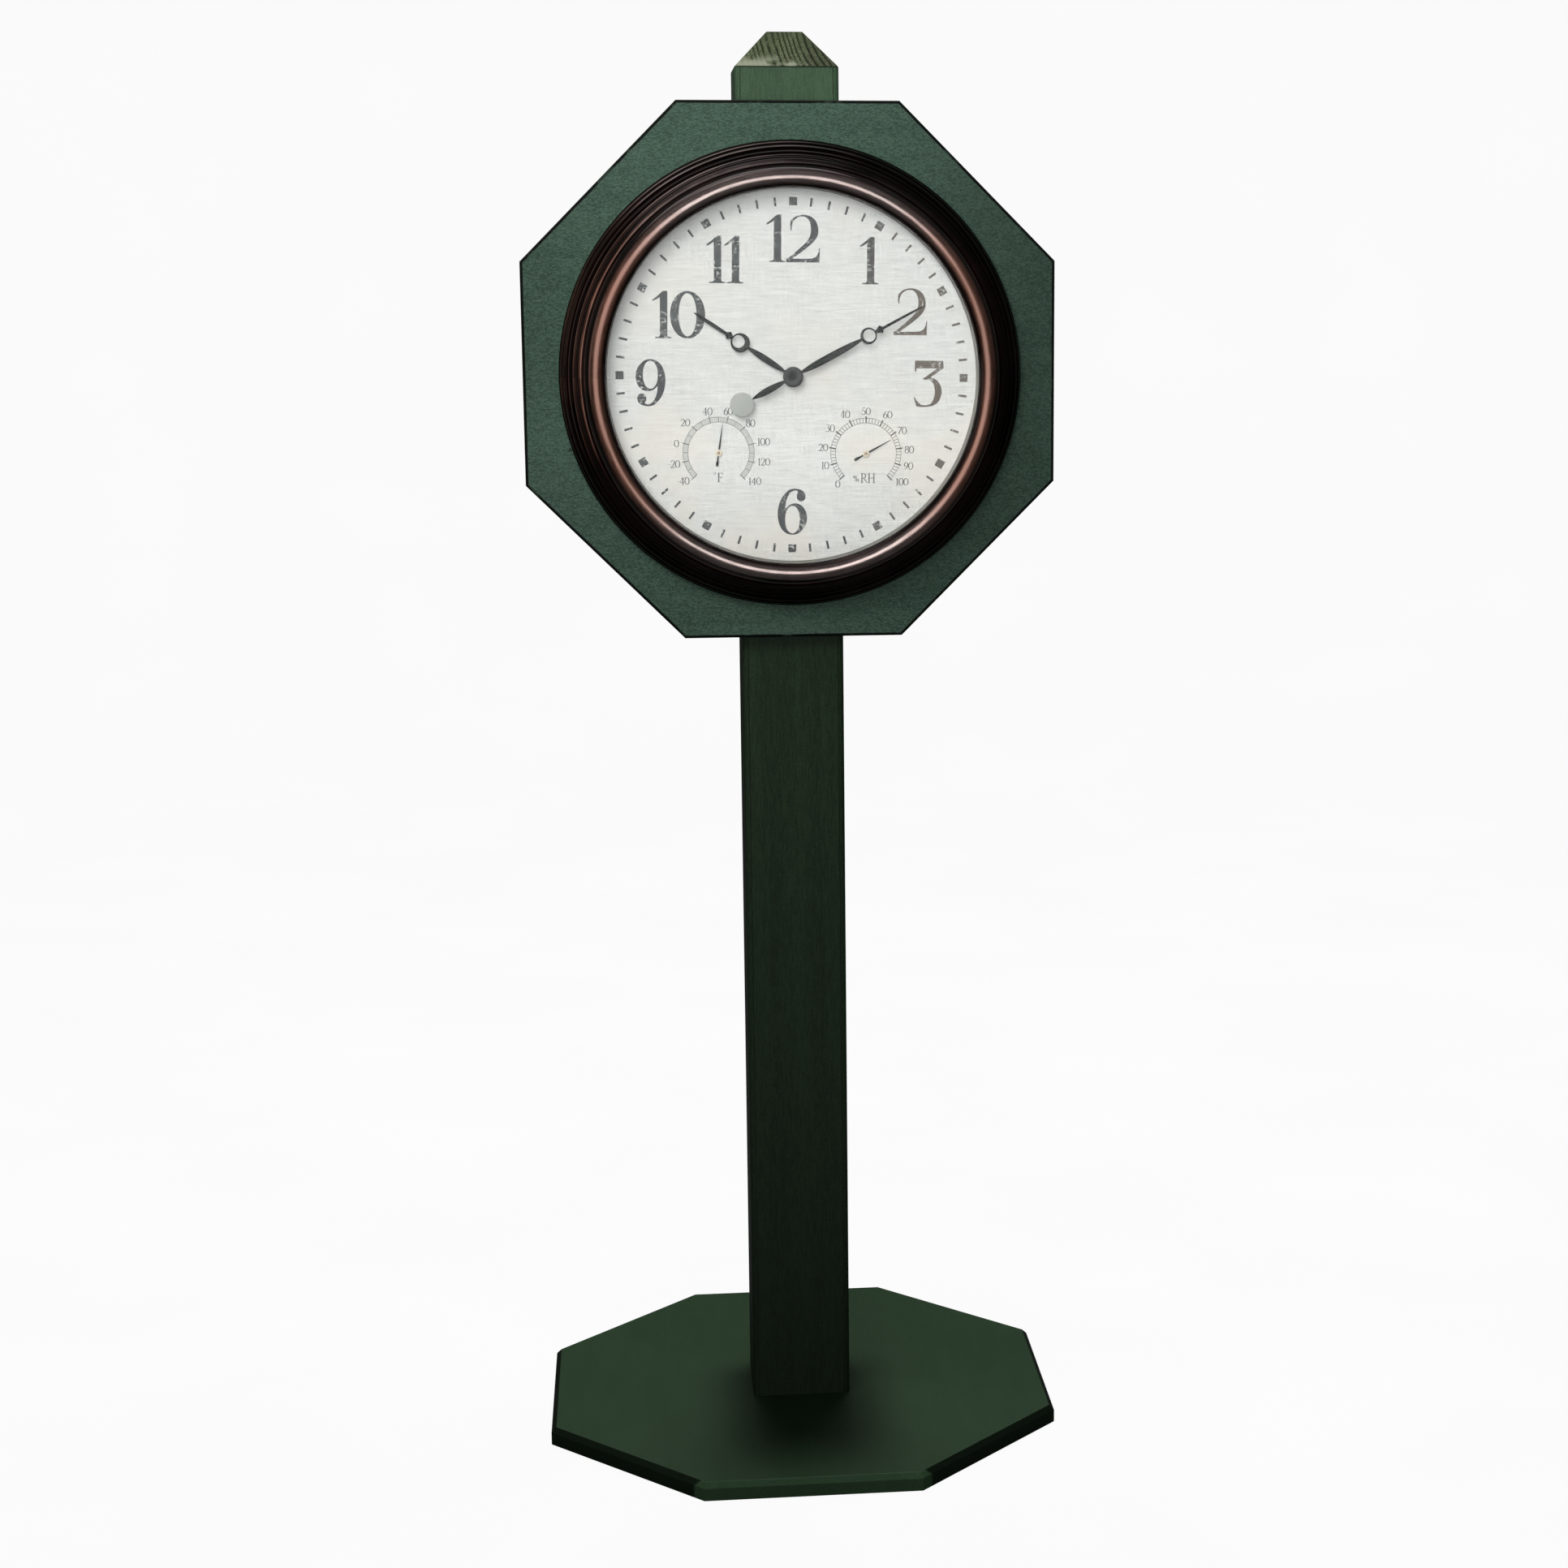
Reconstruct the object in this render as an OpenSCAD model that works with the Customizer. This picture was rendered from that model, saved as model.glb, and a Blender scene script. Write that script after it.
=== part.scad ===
// Post-mounted street clock: a square timber post on an eight-sided foot,
// with an eight-sided head board that carries a round quartz wall clock.
// The clock face also has a dial thermometer and a dial hygrometer.
// Frame: origin at the centre of the foot's underside, +Z up, clock faces -Y.

/* [Stand] */
// Width across the flats of the eight-sided foot
base_w = 457.2; // [420:1:520]
// Thickness of the foot
base_t = 16; // [12:0.5:25]
// Bevel around the foot's top edge
base_bevel = 4.5; // [1:0.5:6]
// Width of the square post
post_w = 88.9; // [80:0.1:95]
// Length of the post, from the foot to its flat top
post_len = 1226; // [1215:1:1300]
// Rounding of the post's long edges
post_round = 5; // [2:0.5:8]
// Height of the four sloping faces on the post's top
cap_h = 31.1; // [20:0.1:40]
// Width of the small flat on the post's top
cap_flat = 30.6; // [20:0.1:40]

/* [Head] */
// Width across the flats of the eight-sided head board
head_w = 457.2; // [430:1:500]
// Thickness of the head board
head_t = 16; // [12:0.5:20]
// Eased edge around the front of the head board
head_ease = 1.5; // [0.5:0.5:3]
// Height of the head board's centre above the ground
head_z = 954; // [940:1:970]
// Height of the clock's axis above the ground
clock_z = 952; // [940:1:960]

/* [Clock] */
// How far the dial sits turned clockwise from upright
dial_turn = 0.8; // [-3:0.1:3]
// Angle of the minute hand, clockwise from twelve
minute_angle = 61.4; // [0:0.1:359.9]
// Angle of the hour hand, clockwise from twelve
hour_angle = 302.5; // [0:0.1:359.9]
// Temperature that the thermometer needle shows, in degrees F
temperature = 55.3; // [-40:0.1:140]
// Relative humidity that the hygrometer needle shows, in percent
humidity = 72.4; // [0:0.1:100]
// Sideways distance of each small gauge from the clock's axis
gauge_x = 63; // [55:0.5:70]
// Distance of the small gauges below the clock's axis
gauge_y = 65; // [58:0.5:70]

/* [Fits] */
// Running clearance of a shaft in its hole, on the radius
run = 0.04; // [0.02:0.01:0.06]
// Backlash of the small gears at the pitch circle
lash = 0.05; // [0.04:0.01:0.08]

/* [Hidden] */
$fn = 96;

board_front = post_w / 2 + head_t;   // distance of the head board's front from the post's centre
post_top = base_t + post_len;
glue = 0.01;                         // glue line between the foot and the post
cut = 1;                             // how far a cutting solid runs past a surface
embed = 0.2;                         // overlap that joins two shapes of one piece

// thicknesses in the clock
cover_t = 2;
lens_t = 2.4;
gasket_t = 0.8;
hand_t = 0.8;
case_wall = 1.2;
brass_washer_t = 0.4;

// heights in the clock, measured forwards from the head board's front
h_rim = 0.4;                         // back edge of the round frame
h_cover = 2.0;                       // back face of the back cover
h_inside = h_cover + cover_t;        // front face of the back cover
h_case = 5.2;                        // back face of the movement
h_pivot = 5.8;                       // back ends of the arbors
h_floor = h_case + case_wall;        // inside of the movement's back wall
h_plate = 19.6;                      // back of the movement's front plate
h_front = 21.2;                      // front of the movement
h_dial = 22.2;                       // back of the dial
h_face = 24.0;                       // front of the dial
h_hour = 28.0;                       // back of the hour hand
h_min = 30.4;                        // back of the minute hand
h_glass = 35.0;                      // back of the glass
h_gasket = h_glass + lens_t;         // back of the gasket
h_lip = h_gasket + gasket_t;         // back of the frame's front lip

// radii of the nested shafts and tubes
pivot_r = 0.5;
staff_r = 1.2;                       // centre shaft
cannon_r = 1.7;                      // thick front part of the centre shaft
hour_tube_r = 2.6;
dial_tube_r = 4.0;                   // fixed tube through the dial
washer_bore_r = dial_tube_r + 0.05;

cream = [0.87, 0.84, 0.76];
steel = [0.66, 0.67, 0.68];
brass = [0.78, 0.62, 0.32];
copper = [0.72, 0.42, 0.25];
white_plastic = [0.88, 0.88, 0.86];
black_plastic = [0.07, 0.07, 0.07];
hand_black = [0.05, 0.055, 0.05];
post_green = [0.06, 0.12, 0.07];
board_green = [0.15, 0.27, 0.20];
bronze = [0.13, 0.08, 0.065];

// ---------------------------------------------------------------- helpers

// moves a child from clock axes (x right, y up, z towards the viewer) into place
module on_clock(at = [0, 0], z = 0) {
    translate([0, -board_front, clock_z]) rotate([90, 0, 0])
        translate([at[0], at[1], z]) children();
}

// moves a child that points up the dial to a clockwise angle on the dial
module on_dial(angle, z, at = [0, 0]) {
    on_clock(at, z) rotate([0, 0, -angle - dial_turn]) children();
}

// cylinder along z; without a number of sides, it is chosen by radius
module upright(z, radius, height, at = [0, 0], sides = 0) {
    translate([at[0], at[1], z])
        cylinder(r = radius, h = height, $fn = sides > 0 ? sides : radius < 2 ? 32 : 64);
}

// cutter for a hole right through a thickness that starts at z
module hole(z, radius, depth, at = [0, 0], sides = 0) {
    upright(z - cut, radius, depth + 2 * cut, at, sides);
}

module ring(z, outer, bore, height, sides = 0, bore_sides = 0) {
    difference() {
        upright(z, outer, height, sides = sides);
        hole(z, bore, height, sides = bore_sides);
    }
}

// six copies around the z axis
module six_around(radius, first_angle) {
    for (i = [0:5]) rotate([0, 0, first_angle + 60 * i]) translate([radius, 0, 0]) children();
}

function toward(angle) = [cos(angle), sin(angle)];

// points of an elliptical arc
function arc(cx, cy, rx, ry, from, to, steps = 8) =
    [for (i = [0:steps]) let (a = from + (to - from) * i / steps) [cx + rx * cos(a), cy + ry * sin(a)]];

// points of a square with rounded corners
function soft_square(width, radius) =
    let (c = width / 2 - radius) concat(
        arc(c, c, radius, radius, 0, 90, 6), arc(-c, c, radius, radius, 90, 180, 6),
        arc(-c, -c, radius, radius, 180, 270, 6), arc(c, -c, radius, radius, 270, 360, 6));

// cross-shaped cutter, centred on the origin
module cross_slot(length, width, height) {
    for (turn = [0, 90]) rotate([0, 0, turn]) cube([length, width, height], center = true);
}

// countersunk screw along +Z with its head's flat at z = 0
module countersunk_screw(length, radius, head_h) {
    head_r = 2 * radius;
    tip_len = 3 * radius;
    difference() {
        union() {
            cylinder(r1 = head_r, r2 = radius, h = head_h);
            cylinder(r = radius, h = length - tip_len);
            translate([0, 0, length - tip_len]) cylinder(r1 = radius, r2 = 0.3, h = tip_len);
        }
        translate([0, 0, 0.5]) cross_slot(head_r * 1.1, head_r * 0.24, 2);
    }
}

// eight-sided board standing on z = 0, with a bevel around its upper edge
module eight_sided(width, thickness, bevel) {
    side = bevel * sqrt(2);
    difference() {
        rotate([0, 0, 22.5]) cylinder(r = width / 2 / cos(22.5), h = thickness, $fn = 8);
        for (i = [0:7]) rotate([0, 0, 45 * i]) translate([width / 2, 0, thickness])
            rotate([0, 45, 0]) cube([side, width, side], center = true);
    }
}

// ------------------------------------------------------------------ stand

base_screw_at = [for (x = [-25, 25], y = [-25, 25]) [x, y]];
base_screw_r = 2.4;
base_screw_head_h = 3.8;
base_screw_sink = 0.8;        // depth of the screw heads in the foot's underside

head_screw_at = [for (x = [-28, 28], y = [-110, 110]) [x, y]];
head_screw_r = 2.2;
head_screw_head_h = 3.4;

hang_y = 145;                 // height of the hanging screw above the clock's axis
hang_neck_r = 2.0;
hang_head_r = 4.0;
hang_head_z = 2.4;            // back of the hanging screw's head
hang_head_h = 2.6;
hang_tip_z = -35;             // point of the hanging screw
hang_tip_len = 6;

// moves a child whose +Z runs into the wood to each head board screw
module at_head_screws(depth) {
    for (p = head_screw_at) translate([p[0], -depth, head_z + p[1]]) rotate([-90, 0, 0]) children();
}

// cutter for the hanging screw's hole, from a distance in front of the post's centre
module hanging_hole(start, length) {
    translate([0, -start, clock_z + hang_y]) rotate([-90, 0, 0]) cylinder(r = hang_neck_r, h = length);
}

module base_board() {
    head_r = 2 * base_screw_r;
    color(board_green * 0.7)
    difference() {
        eight_sided(base_w, base_t, base_bevel);
        for (p = base_screw_at) translate([p[0], p[1], 0]) {
            translate([0, 0, -cut]) cylinder(r = head_r, h = base_screw_sink + cut);
            translate([0, 0, base_screw_sink])
                cylinder(r1 = head_r, r2 = base_screw_r, h = base_screw_head_h);
            cylinder(r = base_screw_r, h = base_t + cut);
        }
    }
}

module post() {
    beyond = 20;              // how far the cap's cutter reaches outside the post
    cutter_len = 120;
    color(post_green)
    difference() {
        translate([0, 0, base_t + glue]) linear_extrude(post_len - glue)
            polygon(soft_square(post_w, post_round));
        for (i = [0:3]) rotate([0, 0, 90 * i]) rotate([90, 0, 0])
            translate([0, 0, -cutter_len / 2]) linear_extrude(cutter_len)
            polygon([
                [cap_flat / 2, post_top],
                [post_w / 2, post_top - cap_h],
                [post_w / 2 + beyond, post_top - cap_h],
                [post_w / 2 + beyond, post_top + beyond],
                [cap_flat / 2, post_top + beyond]]);
        for (p = base_screw_at) translate([p[0], p[1], base_t - cut]) cylinder(r = base_screw_r, h = 48);
        at_head_screws(post_w / 2 + cut) cylinder(r = head_screw_r, h = 35);
        hanging_hole(post_w / 2 + cut, 22);
    }
}

module head_board() {
    color(board_green)
    difference() {
        translate([0, -post_w / 2, head_z]) rotate([90, 0, 0]) eight_sided(head_w, head_t, head_ease);
        at_head_screws(board_front) {
            cylinder(r1 = 2 * head_screw_r, r2 = head_screw_r, h = head_screw_head_h);
            translate([0, 0, -cut]) cylinder(r = head_screw_r, h = head_t + 2 * cut);
        }
        hanging_hole(board_front + cut, head_t + 2 * cut);
    }
}

module base_screws() {
    color(steel)
    for (p = base_screw_at) translate([p[0], p[1], base_screw_sink])
        countersunk_screw(60, base_screw_r, base_screw_head_h);
}

module head_screws() {
    color(steel)
    at_head_screws(board_front) countersunk_screw(48, head_screw_r, head_screw_head_h);
}

// the clock hangs on this screw's neck, behind its head
module hanging_screw() {
    neck_z = hang_tip_z + hang_tip_len;
    color(steel)
    on_clock([0, hang_y]) {
        translate([0, 0, hang_tip_z]) cylinder(r1 = 0.3, r2 = hang_neck_r, h = hang_tip_len);
        translate([0, 0, neck_z]) cylinder(r = hang_neck_r, h = hang_head_z - neck_z);
        difference() {
            translate([0, 0, hang_head_z]) cylinder(r = hang_head_r, h = hang_head_h);
            translate([0, 0, 4.8]) cube([9, 1.1, 1.6], center = true);
        }
    }
}

// ------------------------------------------------------- clock: its casing

lens_r = 164;
dial_r = 168.5;
cover_r = 193.5;
cover_screw_at = [187, 30];   // radius and first angle of the cover screws
cover_screw_r = 1.4;
cover_screw_head_h = 1.1;
dial_post_at = 158;           // radius at which the cover's posts meet the dial
case_half = 28;               // half the width of the square movement
hanger_t = 1.2;
hanger_z = h_cover - hanger_t;
rivet_at = [for (x = [-14, 14]) [x, hang_y - 6]];
rivet_r = 1.5;

// steps down the outside of the frame: [outer radius, foot of the round, inner radius, top of the round]
frame_steps = [
    [198.0, 5.2, 196.6, 7.2], [196.6, 9.4, 193.6, 12.6],
    [193.6, 14.4, 188.8, 19.4], [188.8, 20.6, 185.2, 24.2],
    [185.2, 25.2, 183.6, 26.8], [183.6, 27.8, 182.0, 29.4],
    [182.0, 30.4, 178.4, 33.4], [178.4, 34.4, 175.8, 36.4]];
// frame's section as [radius, height]: outside from the back edge to the front bead, then inside
frame_outside = concat([[197.4, h_rim], [198.0, 1.0]],
    [for (s = frame_steps) each arc(s[2], s[1], s[0] - s[2], s[3] - s[1], 0, 90, 6)],
    [[175.0, 36.4]],
    arc(168.8, 40.0, 6.2, 8.0, 0, 90, 14),
    [for (p = arc(168.8, 40.6, 11.3, 7.4, 90, 180, 16)) if (p[0] < 168.7) p]);
frame_inside = [
    [157.5, h_lip], [164.2, h_lip], [164.2, h_face], [167.2, h_face], [167.2, 44.4],
    [169.4, 44.6], [172.0, 41.4], [172.4, 33.6], [178.0, 30.2], [181.0, 26.4],
    [185.6, 20.8], [190.4, 15.2], [194.2, 8.6], [195.2, 4.6], [195.2, h_rim]];

module at_cover_screws() {
    six_around(cover_screw_at[0], cover_screw_at[1]) children();
}

module clock_frame() {
    color(bronze)
    on_clock() difference() {
        union() {
            rotate_extrude($fn = 180) polygon(concat(frame_outside, frame_inside));
            at_cover_screws() upright(h_inside, 4, 13.5, sides = 40);
        }
        at_cover_screws() upright(0, cover_screw_r, 13);
    }
}

module lens() {
    color([0.85, 0.92, 0.95, 0.35])
    on_clock() upright(h_glass, lens_r, lens_t, sides = 180);
}

module lens_gasket() {
    color([0.10, 0.10, 0.10])
    on_clock() ring(h_gasket, lens_r, 159, gasket_t, 180, 180);
}

// light-coloured ring that holds the glass away from the dial
module spacer_ring() {
    color([0.62, 0.58, 0.52])
    on_clock() rotate_extrude($fn = 180)
        polygon([[157.2, h_face], [163.9, h_face], [163.9, h_glass], [158.2, h_glass]]);
}

module dial() {
    thickness = h_face - h_dial;
    color([0.90, 0.90, 0.88])
    on_clock() difference() {
        upright(h_dial, dial_r, thickness, sides = 180);
        hole(h_dial, dial_tube_r + 0.1, thickness, sides = 48);
        for (p = [thermo_at, hygro_at]) hole(h_dial, 1.4, thickness, p);
    }
}

module back_cover() {
    opening_half = case_half + 3;
    cut_z = h_cover - cut;
    cut_h = cover_t + 2 * cut;
    color(black_plastic)
    on_clock() difference() {
        union() {
            upright(h_cover, cover_r, cover_t, sides = 180);
            six_around(dial_post_at, 0) upright(h_inside, 3.5, h_dial - h_inside, sides = 40);
        }
        // openings for the movement and the hanging screw
        translate([-opening_half, -opening_half, cut_z]) cube([2 * opening_half, 2 * opening_half, cut_h]);
        translate([-7, hang_y - 20, cut_z]) cube([14, 28, cut_h]);
        for (p = rivet_at) hole(h_cover, rivet_r, cover_t, p);
        at_cover_screws() hole(h_cover, cover_screw_r + 0.2, cover_t);
    }
}

module cover_screws() {
    color(steel)
    on_clock() at_cover_screws() {
        difference() {
            upright(h_cover - cover_screw_head_h, 3, cover_screw_head_h, sides = 40);
            cross_slot(3, 0.7, 2.6);
        }
        upright(h_cover, cover_screw_r, 10);
    }
}

// steel plate with the keyhole that hooks over the hanging screw
module hanger_plate() {
    drop = 12;                // from the keyhole's narrow end to its wide end
    slot_r = hang_neck_r + 0.3;
    color(steel)
    on_clock() difference() {
        translate([-19, hang_y - 21, hanger_z]) cube([38, 31, hanger_t]);
        hole(hanger_z, slot_r, hanger_t, [0, hang_y], 48);
        translate([-slot_r, hang_y - drop, hanger_z - cut]) cube([2 * slot_r, drop, hanger_t + 2 * cut]);
        hole(hanger_z, hang_head_r + 0.7, hanger_t, [0, hang_y - drop], 48);
        for (p = rivet_at) hole(hanger_z, rivet_r, hanger_t, p);
    }
}

module hanger_rivets() {
    color(steel)
    on_clock() for (p = rivet_at) {
        upright(hanger_z, rivet_r, hanger_t + cover_t, p);
        upright(h_inside, 2.7, 0.8, p, 32);
    }
}

// ------------------------------------------------- clock: gear proportions

// tooth counts
centre_teeth = 64;
train_teeth = 60;             // third, seconds and reduction wheels
third_pinion = 8;
seconds_pinion = 8;
reduction_pinion = 10;
rotor_pinion = 12;
cannon_teeth = 12;
minute_teeth = 36;
minute_pinion = 10;
hour_teeth = 40;

function centre_distance(teeth_a, teeth_b, size) = (teeth_a + teeth_b) * size / 2;

// modules (pitch diameter over teeth); the hour pair shares the cannon pair's centres
train_module = 0.25;
cannon_module = 0.40;
minute_distance = centre_distance(cannon_teeth, minute_teeth, cannon_module);
hour_module = 2 * minute_distance / (minute_pinion + hour_teeth);

// direction from each gear's centre to the next, anticlockwise from +x
third_dir = 150;
seconds_dir = 70;
reduction_dir = 20;
rotor_dir = 0;

function train_step(wheel, pinion, direction) =
    centre_distance(wheel, pinion, train_module) * toward(direction);
third_at = train_step(centre_teeth, third_pinion, third_dir);
seconds_at = third_at + train_step(train_teeth, seconds_pinion, seconds_dir);
reduction_at = seconds_at + train_step(train_teeth, reduction_pinion, reduction_dir);
rotor_at = reduction_at + train_step(train_teeth, rotor_pinion, rotor_dir);
train_at = [third_at, seconds_at, reduction_at, rotor_at];
minute_at = [minute_distance, 0];

// turn of gear b that meshes with gear a; direction is from a to b
function mesh_turn(teeth_a, turn_a, direction, teeth_b) =
    direction + 180 - 360 / teeth_b * (0.5 - teeth_a * (direction - turn_a) / 360);

third_turn = mesh_turn(centre_teeth, 0, third_dir, third_pinion);
seconds_turn = mesh_turn(train_teeth, third_turn, seconds_dir, seconds_pinion);
reduction_turn = mesh_turn(train_teeth, seconds_turn, reduction_dir, reduction_pinion);
rotor_turn = mesh_turn(train_teeth, reduction_turn, rotor_dir, rotor_pinion);
minute_turn = mesh_turn(cannon_teeth, -minute_angle, 0, minute_teeth);
hour_turn = mesh_turn(minute_pinion, minute_turn, 180, hour_teeth);

pressure_angle = 25;
tooth_tip = 0.7;              // tip above the pitch circle, in modules
tooth_root = 0.95;            // root below the pitch circle, in modules

function involute(angle) = tan(angle) - angle * PI / 180;

// half of a tooth's angle at a radius
function half_tooth(radius, base_r, pitch_r, teeth) =
    90 / teeth - lash / 4 / pitch_r * 180 / PI
    + (involute(acos(base_r / pitch_r)) - involute(acos(base_r / radius))) * 180 / PI;

// outline of an involute gear with short teeth
function gear_outline(teeth, size) =
    let (pitch_r = teeth * size / 2,
        base_r = pitch_r * cos(pressure_angle),
        tip_r = pitch_r + tooth_tip * size,
        root_r = pitch_r - tooth_root * size,
        start_r = max(base_r, root_r),
        flank = [for (k = [0:3]) let (q = start_r + (tip_r - start_r) * k / 3)
            [q, half_tooth(q, base_r, pitch_r, teeth)]],
        side = concat([[root_r, flank[0][1]]], flank))
    [for (i = [0:teeth - 1]) let (middle = i * 360 / teeth) each concat(
        [for (k = [0:4]) side[k][0] * toward(middle - side[k][1])],
        [for (k = [4:-1:0]) side[k][0] * toward(middle + side[k][1])])];

module gear(teeth, size, thickness, z, turn = 0) {
    translate([0, 0, z]) rotate([0, 0, turn]) linear_extrude(thickness)
        polygon(gear_outline(teeth, size));
}

// ----------------------------------------------------- clock: the movement

case_inside = case_half - case_wall;
bay_top = -12;                            // upper edge of the battery bay
bay_y = (bay_top - case_inside) / 2;      // middle of the battery bay
peg_at = [for (x = [-24.8, 24.8], y = [-8.8, 24.8]) [x, y]];
peg_r = 1.0;
circuit_z = 16;
circuit_stud_at = [[-22, -4.5], [-22, 20.5]];

sheet_t = 0.8;                            // thickness of the stator and the coil's core
stator_z = 10.2;
stator_x = 11;
stator_bar_y = [3.2, 23.2];               // middles of the stator's two crosswise bars
stator_bar_w = 4;

core_w = 3;
core_z = stator_z + sheet_t;
coil_x = 21.4;                            // coil's axis, beside the gear train
coil_y = 5.8;                             // lower end of the bobbin
coil_z = core_z + sheet_t / 2;
coil_len = 14.8;
former_r = 2.6;
flange_t = 0.8;

// stud that rises from the inside of the case's back wall
module case_stud(at, radius, top) {
    upright(h_floor - embed, radius, top - h_floor + embed, at);
}

module movement_case() {
    cavity_h = h_plate - h_floor + cut;
    gear_bay_y = bay_top + case_wall;
    pivots = concat([[0, 0]], train_at);
    color(black_plastic * 1.4)
    on_clock() difference() {
        union() {
            difference() {
                translate([-case_half, -case_half, h_case])
                    cube([2 * case_half, 2 * case_half, h_plate - h_case]);
                translate([-case_inside, gear_bay_y, h_floor])
                    cube([2 * case_inside, case_inside - gear_bay_y, cavity_h]);
                translate([-case_inside, -case_inside, h_floor])
                    cube([2 * case_inside, bay_top + case_inside, cavity_h]);
            }
            for (p = pivots) case_stud(p, 1.5, h_floor + 0.8);
            for (p = peg_at) case_stud(p, 1.8, h_plate);
            for (p = circuit_stud_at) case_stud(p, 1.5, circuit_z);
            for (y = stator_bar_y) case_stud([21, y], 1.4, stator_z);
        }
        // battery bay is open at the back
        translate([-26.2, -26.6, 0]) cube([52.4, 14.4, 8]);
        for (p = pivots) upright(5.7, pivot_r + run, 3, p);
        upright(0, knob_shaft_r + run, 8, minute_at);
        for (p = peg_at) upright(h_plate - 3, peg_r, 3 + cut, p);
    }
}

module movement_plate() {
    tube_top = 27.4;
    peg_len = 2.6;
    pivot_depth = 1;
    color(black_plastic * 1.4)
    on_clock() difference() {
        union() {
            translate([-case_half, -case_half, h_plate])
                cube([2 * case_half, 2 * case_half, h_front - h_plate]);
            upright(h_front - embed, dial_tube_r, tube_top - h_front + embed);
            for (p = peg_at) upright(h_plate - peg_len, peg_r, peg_len + embed, p);
        }
        hole(h_plate, hour_tube_r + run, tube_top - h_plate);
        for (p = train_at) upright(h_plate - cut, pivot_r + run, pivot_depth + cut, p);
        upright(h_plate - cut, minute_pivot_r + run, pivot_depth + cut, minute_at);
    }
}

module battery() {
    color([0.72, 0.56, 0.24])
    on_clock([-24.2, bay_y], 12.4) rotate([0, 90, 0]) {
        cylinder(r = 7.1, h = 49.2);
        cylinder(r = 2.75, h = 50.4);
    }
}

module battery_contacts() {
    leaf_w = 4;
    // leaf that presses on the battery's flat end: [x, z]
    leaf = [[-26.3, 9], [-26.3, 9.5], [-24.6, 12.1], [-24.6, 13.2], [-26.3, 15.8],
        [-26.3, 16.4], [-25.9, 16.2], [-24.2, 13.4], [-24.2, 11.9], [-25.9, 9.2]];
    color(steel)
    on_clock() {
        translate([case_inside - 0.6, -24, 8]) cube([0.6, 9, 9]);
        translate([-case_inside, -24, 8]) cube([0.5, 9, 9]);
        translate([0, bay_y + leaf_w / 2, 0]) rotate([90, 0, 0]) linear_extrude(leaf_w) polygon(leaf);
    }
}

module circuit_board() {
    color([0.10, 0.35, 0.18])
    on_clock([-26.4, -6.5], circuit_z) cube([15.2, 29, 0.8]);
}

module timing_crystal() {
    radius = 1.0;
    color([0.80, 0.80, 0.82])
    on_clock([-18, 8], circuit_z - radius) rotate([-90, 0, 0]) cylinder(r = radius, h = 6, $fn = 40);
}

module driver_chip() {
    thickness = 0.9;
    color([0.05, 0.05, 0.05])
    on_clock([-18.5, 1], circuit_z - thickness) cube([5, 5, thickness]);
}

module coil_bobbin() {
    color(white_plastic)
    on_clock() difference() {
        translate([coil_x, coil_y, coil_z]) rotate([-90, 0, 0]) union() {
            upright(0, former_r, coil_len, sides = 48);
            for (z = [0, coil_len - flange_t]) upright(z, 4.2, flange_t, sides = 48);
        }
        translate([coil_x - core_w / 2, 0, core_z]) cube([core_w, 30, sheet_t]);
    }
}

module coil_winding() {
    color(copper)
    on_clock([coil_x, coil_y + flange_t], coil_z) rotate([-90, 0, 0])
        ring(0, 3.8, former_r, coil_len - 2 * flange_t, 48, 48);
}

module coil_core() {
    color(steel * 0.9)
    on_clock([coil_x - core_w / 2, 1.4], core_z) cube([core_w, 21.6, sheet_t]);
}

module stator() {
    low = stator_bar_y[0] - stator_bar_w / 2;
    color(steel * 0.8)
    on_clock(z = stator_z) difference() {
        union() {
            upright(0, 4.7, sheet_t, rotor_at);
            translate([stator_x, low, 0]) cube([3.6, 24, sheet_t]);
            for (y = stator_bar_y) translate([stator_x, y - stator_bar_w / 2, 0])
                cube([11.6, stator_bar_w, sheet_t]);
        }
        hole(0, 3.1, sheet_t, rotor_at);
    }
}

module rubber_washer() {
    color([0.09, 0.09, 0.09])
    on_clock() ring(h_front, 9, washer_bore_r, h_dial - h_front);
}

module brass_washer() {
    color(brass)
    on_clock() ring(h_face, 7, washer_bore_r, brass_washer_t);
}

module dial_nut() {
    color(brass)
    on_clock() ring(h_face + brass_washer_t, 6.9, dial_tube_r, 2.4, sides = 6);
}

// ---------------------------------------------------------- clock: hands

// outlines along a hand: [distance from the axis, half width]
minute_leaf = [[6, 1.2], [9.7, 1.4], [14, 2.0], [18, 2.5], [25, 2.85],
    [34.5, 3.0], [48, 2.8], [58.6, 2.1], [64, 1.3], [67.2, 1.1]];
minute_spear = [[79.2, 1.3], [81.5, 1.9], [83.6, 2.9], [85.2, 3.7], [86.0, 2.6],
    [87.3, 1.15], [100, 1.15], [115, 1.0], [124, 0.7], [127.8, 0.2]];
tail_tip = [[-35, 1.6], [-39.6, 0.3]];
minute_tail = concat([[-6, 1.2], [-9.7, 1.5], [-14, 2.2], [-19, 2.7], [-25, 2.85], [-30, 2.5]],
    tail_tip);
hour_leaf = [[6, 1.0], [9.7, 1.1], [14, 2.0], [18.5, 2.4], [23.5, 2.65],
    [30, 2.7], [35, 2.4], [41.5, 1.6], [45.5, 0.9]];
hour_spear = [[60.2, 1.35], [61.8, 2.0], [63.4, 3.1], [64.4, 3.75], [65.2, 2.7], [66.9, 1.35],
    [76, 1.55], [86, 1.5], [94, 1.1], [98, 0.7], [99.2, 0.3]];
needle_outline = [[-11.6, 0.5], [-10.6, 1.05], [-8.4, 1.1], [-5.6, 0.7], [0, 0.6],
    [7, 0.7], [14, 0.5], [25.4, 0.15]];

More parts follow.
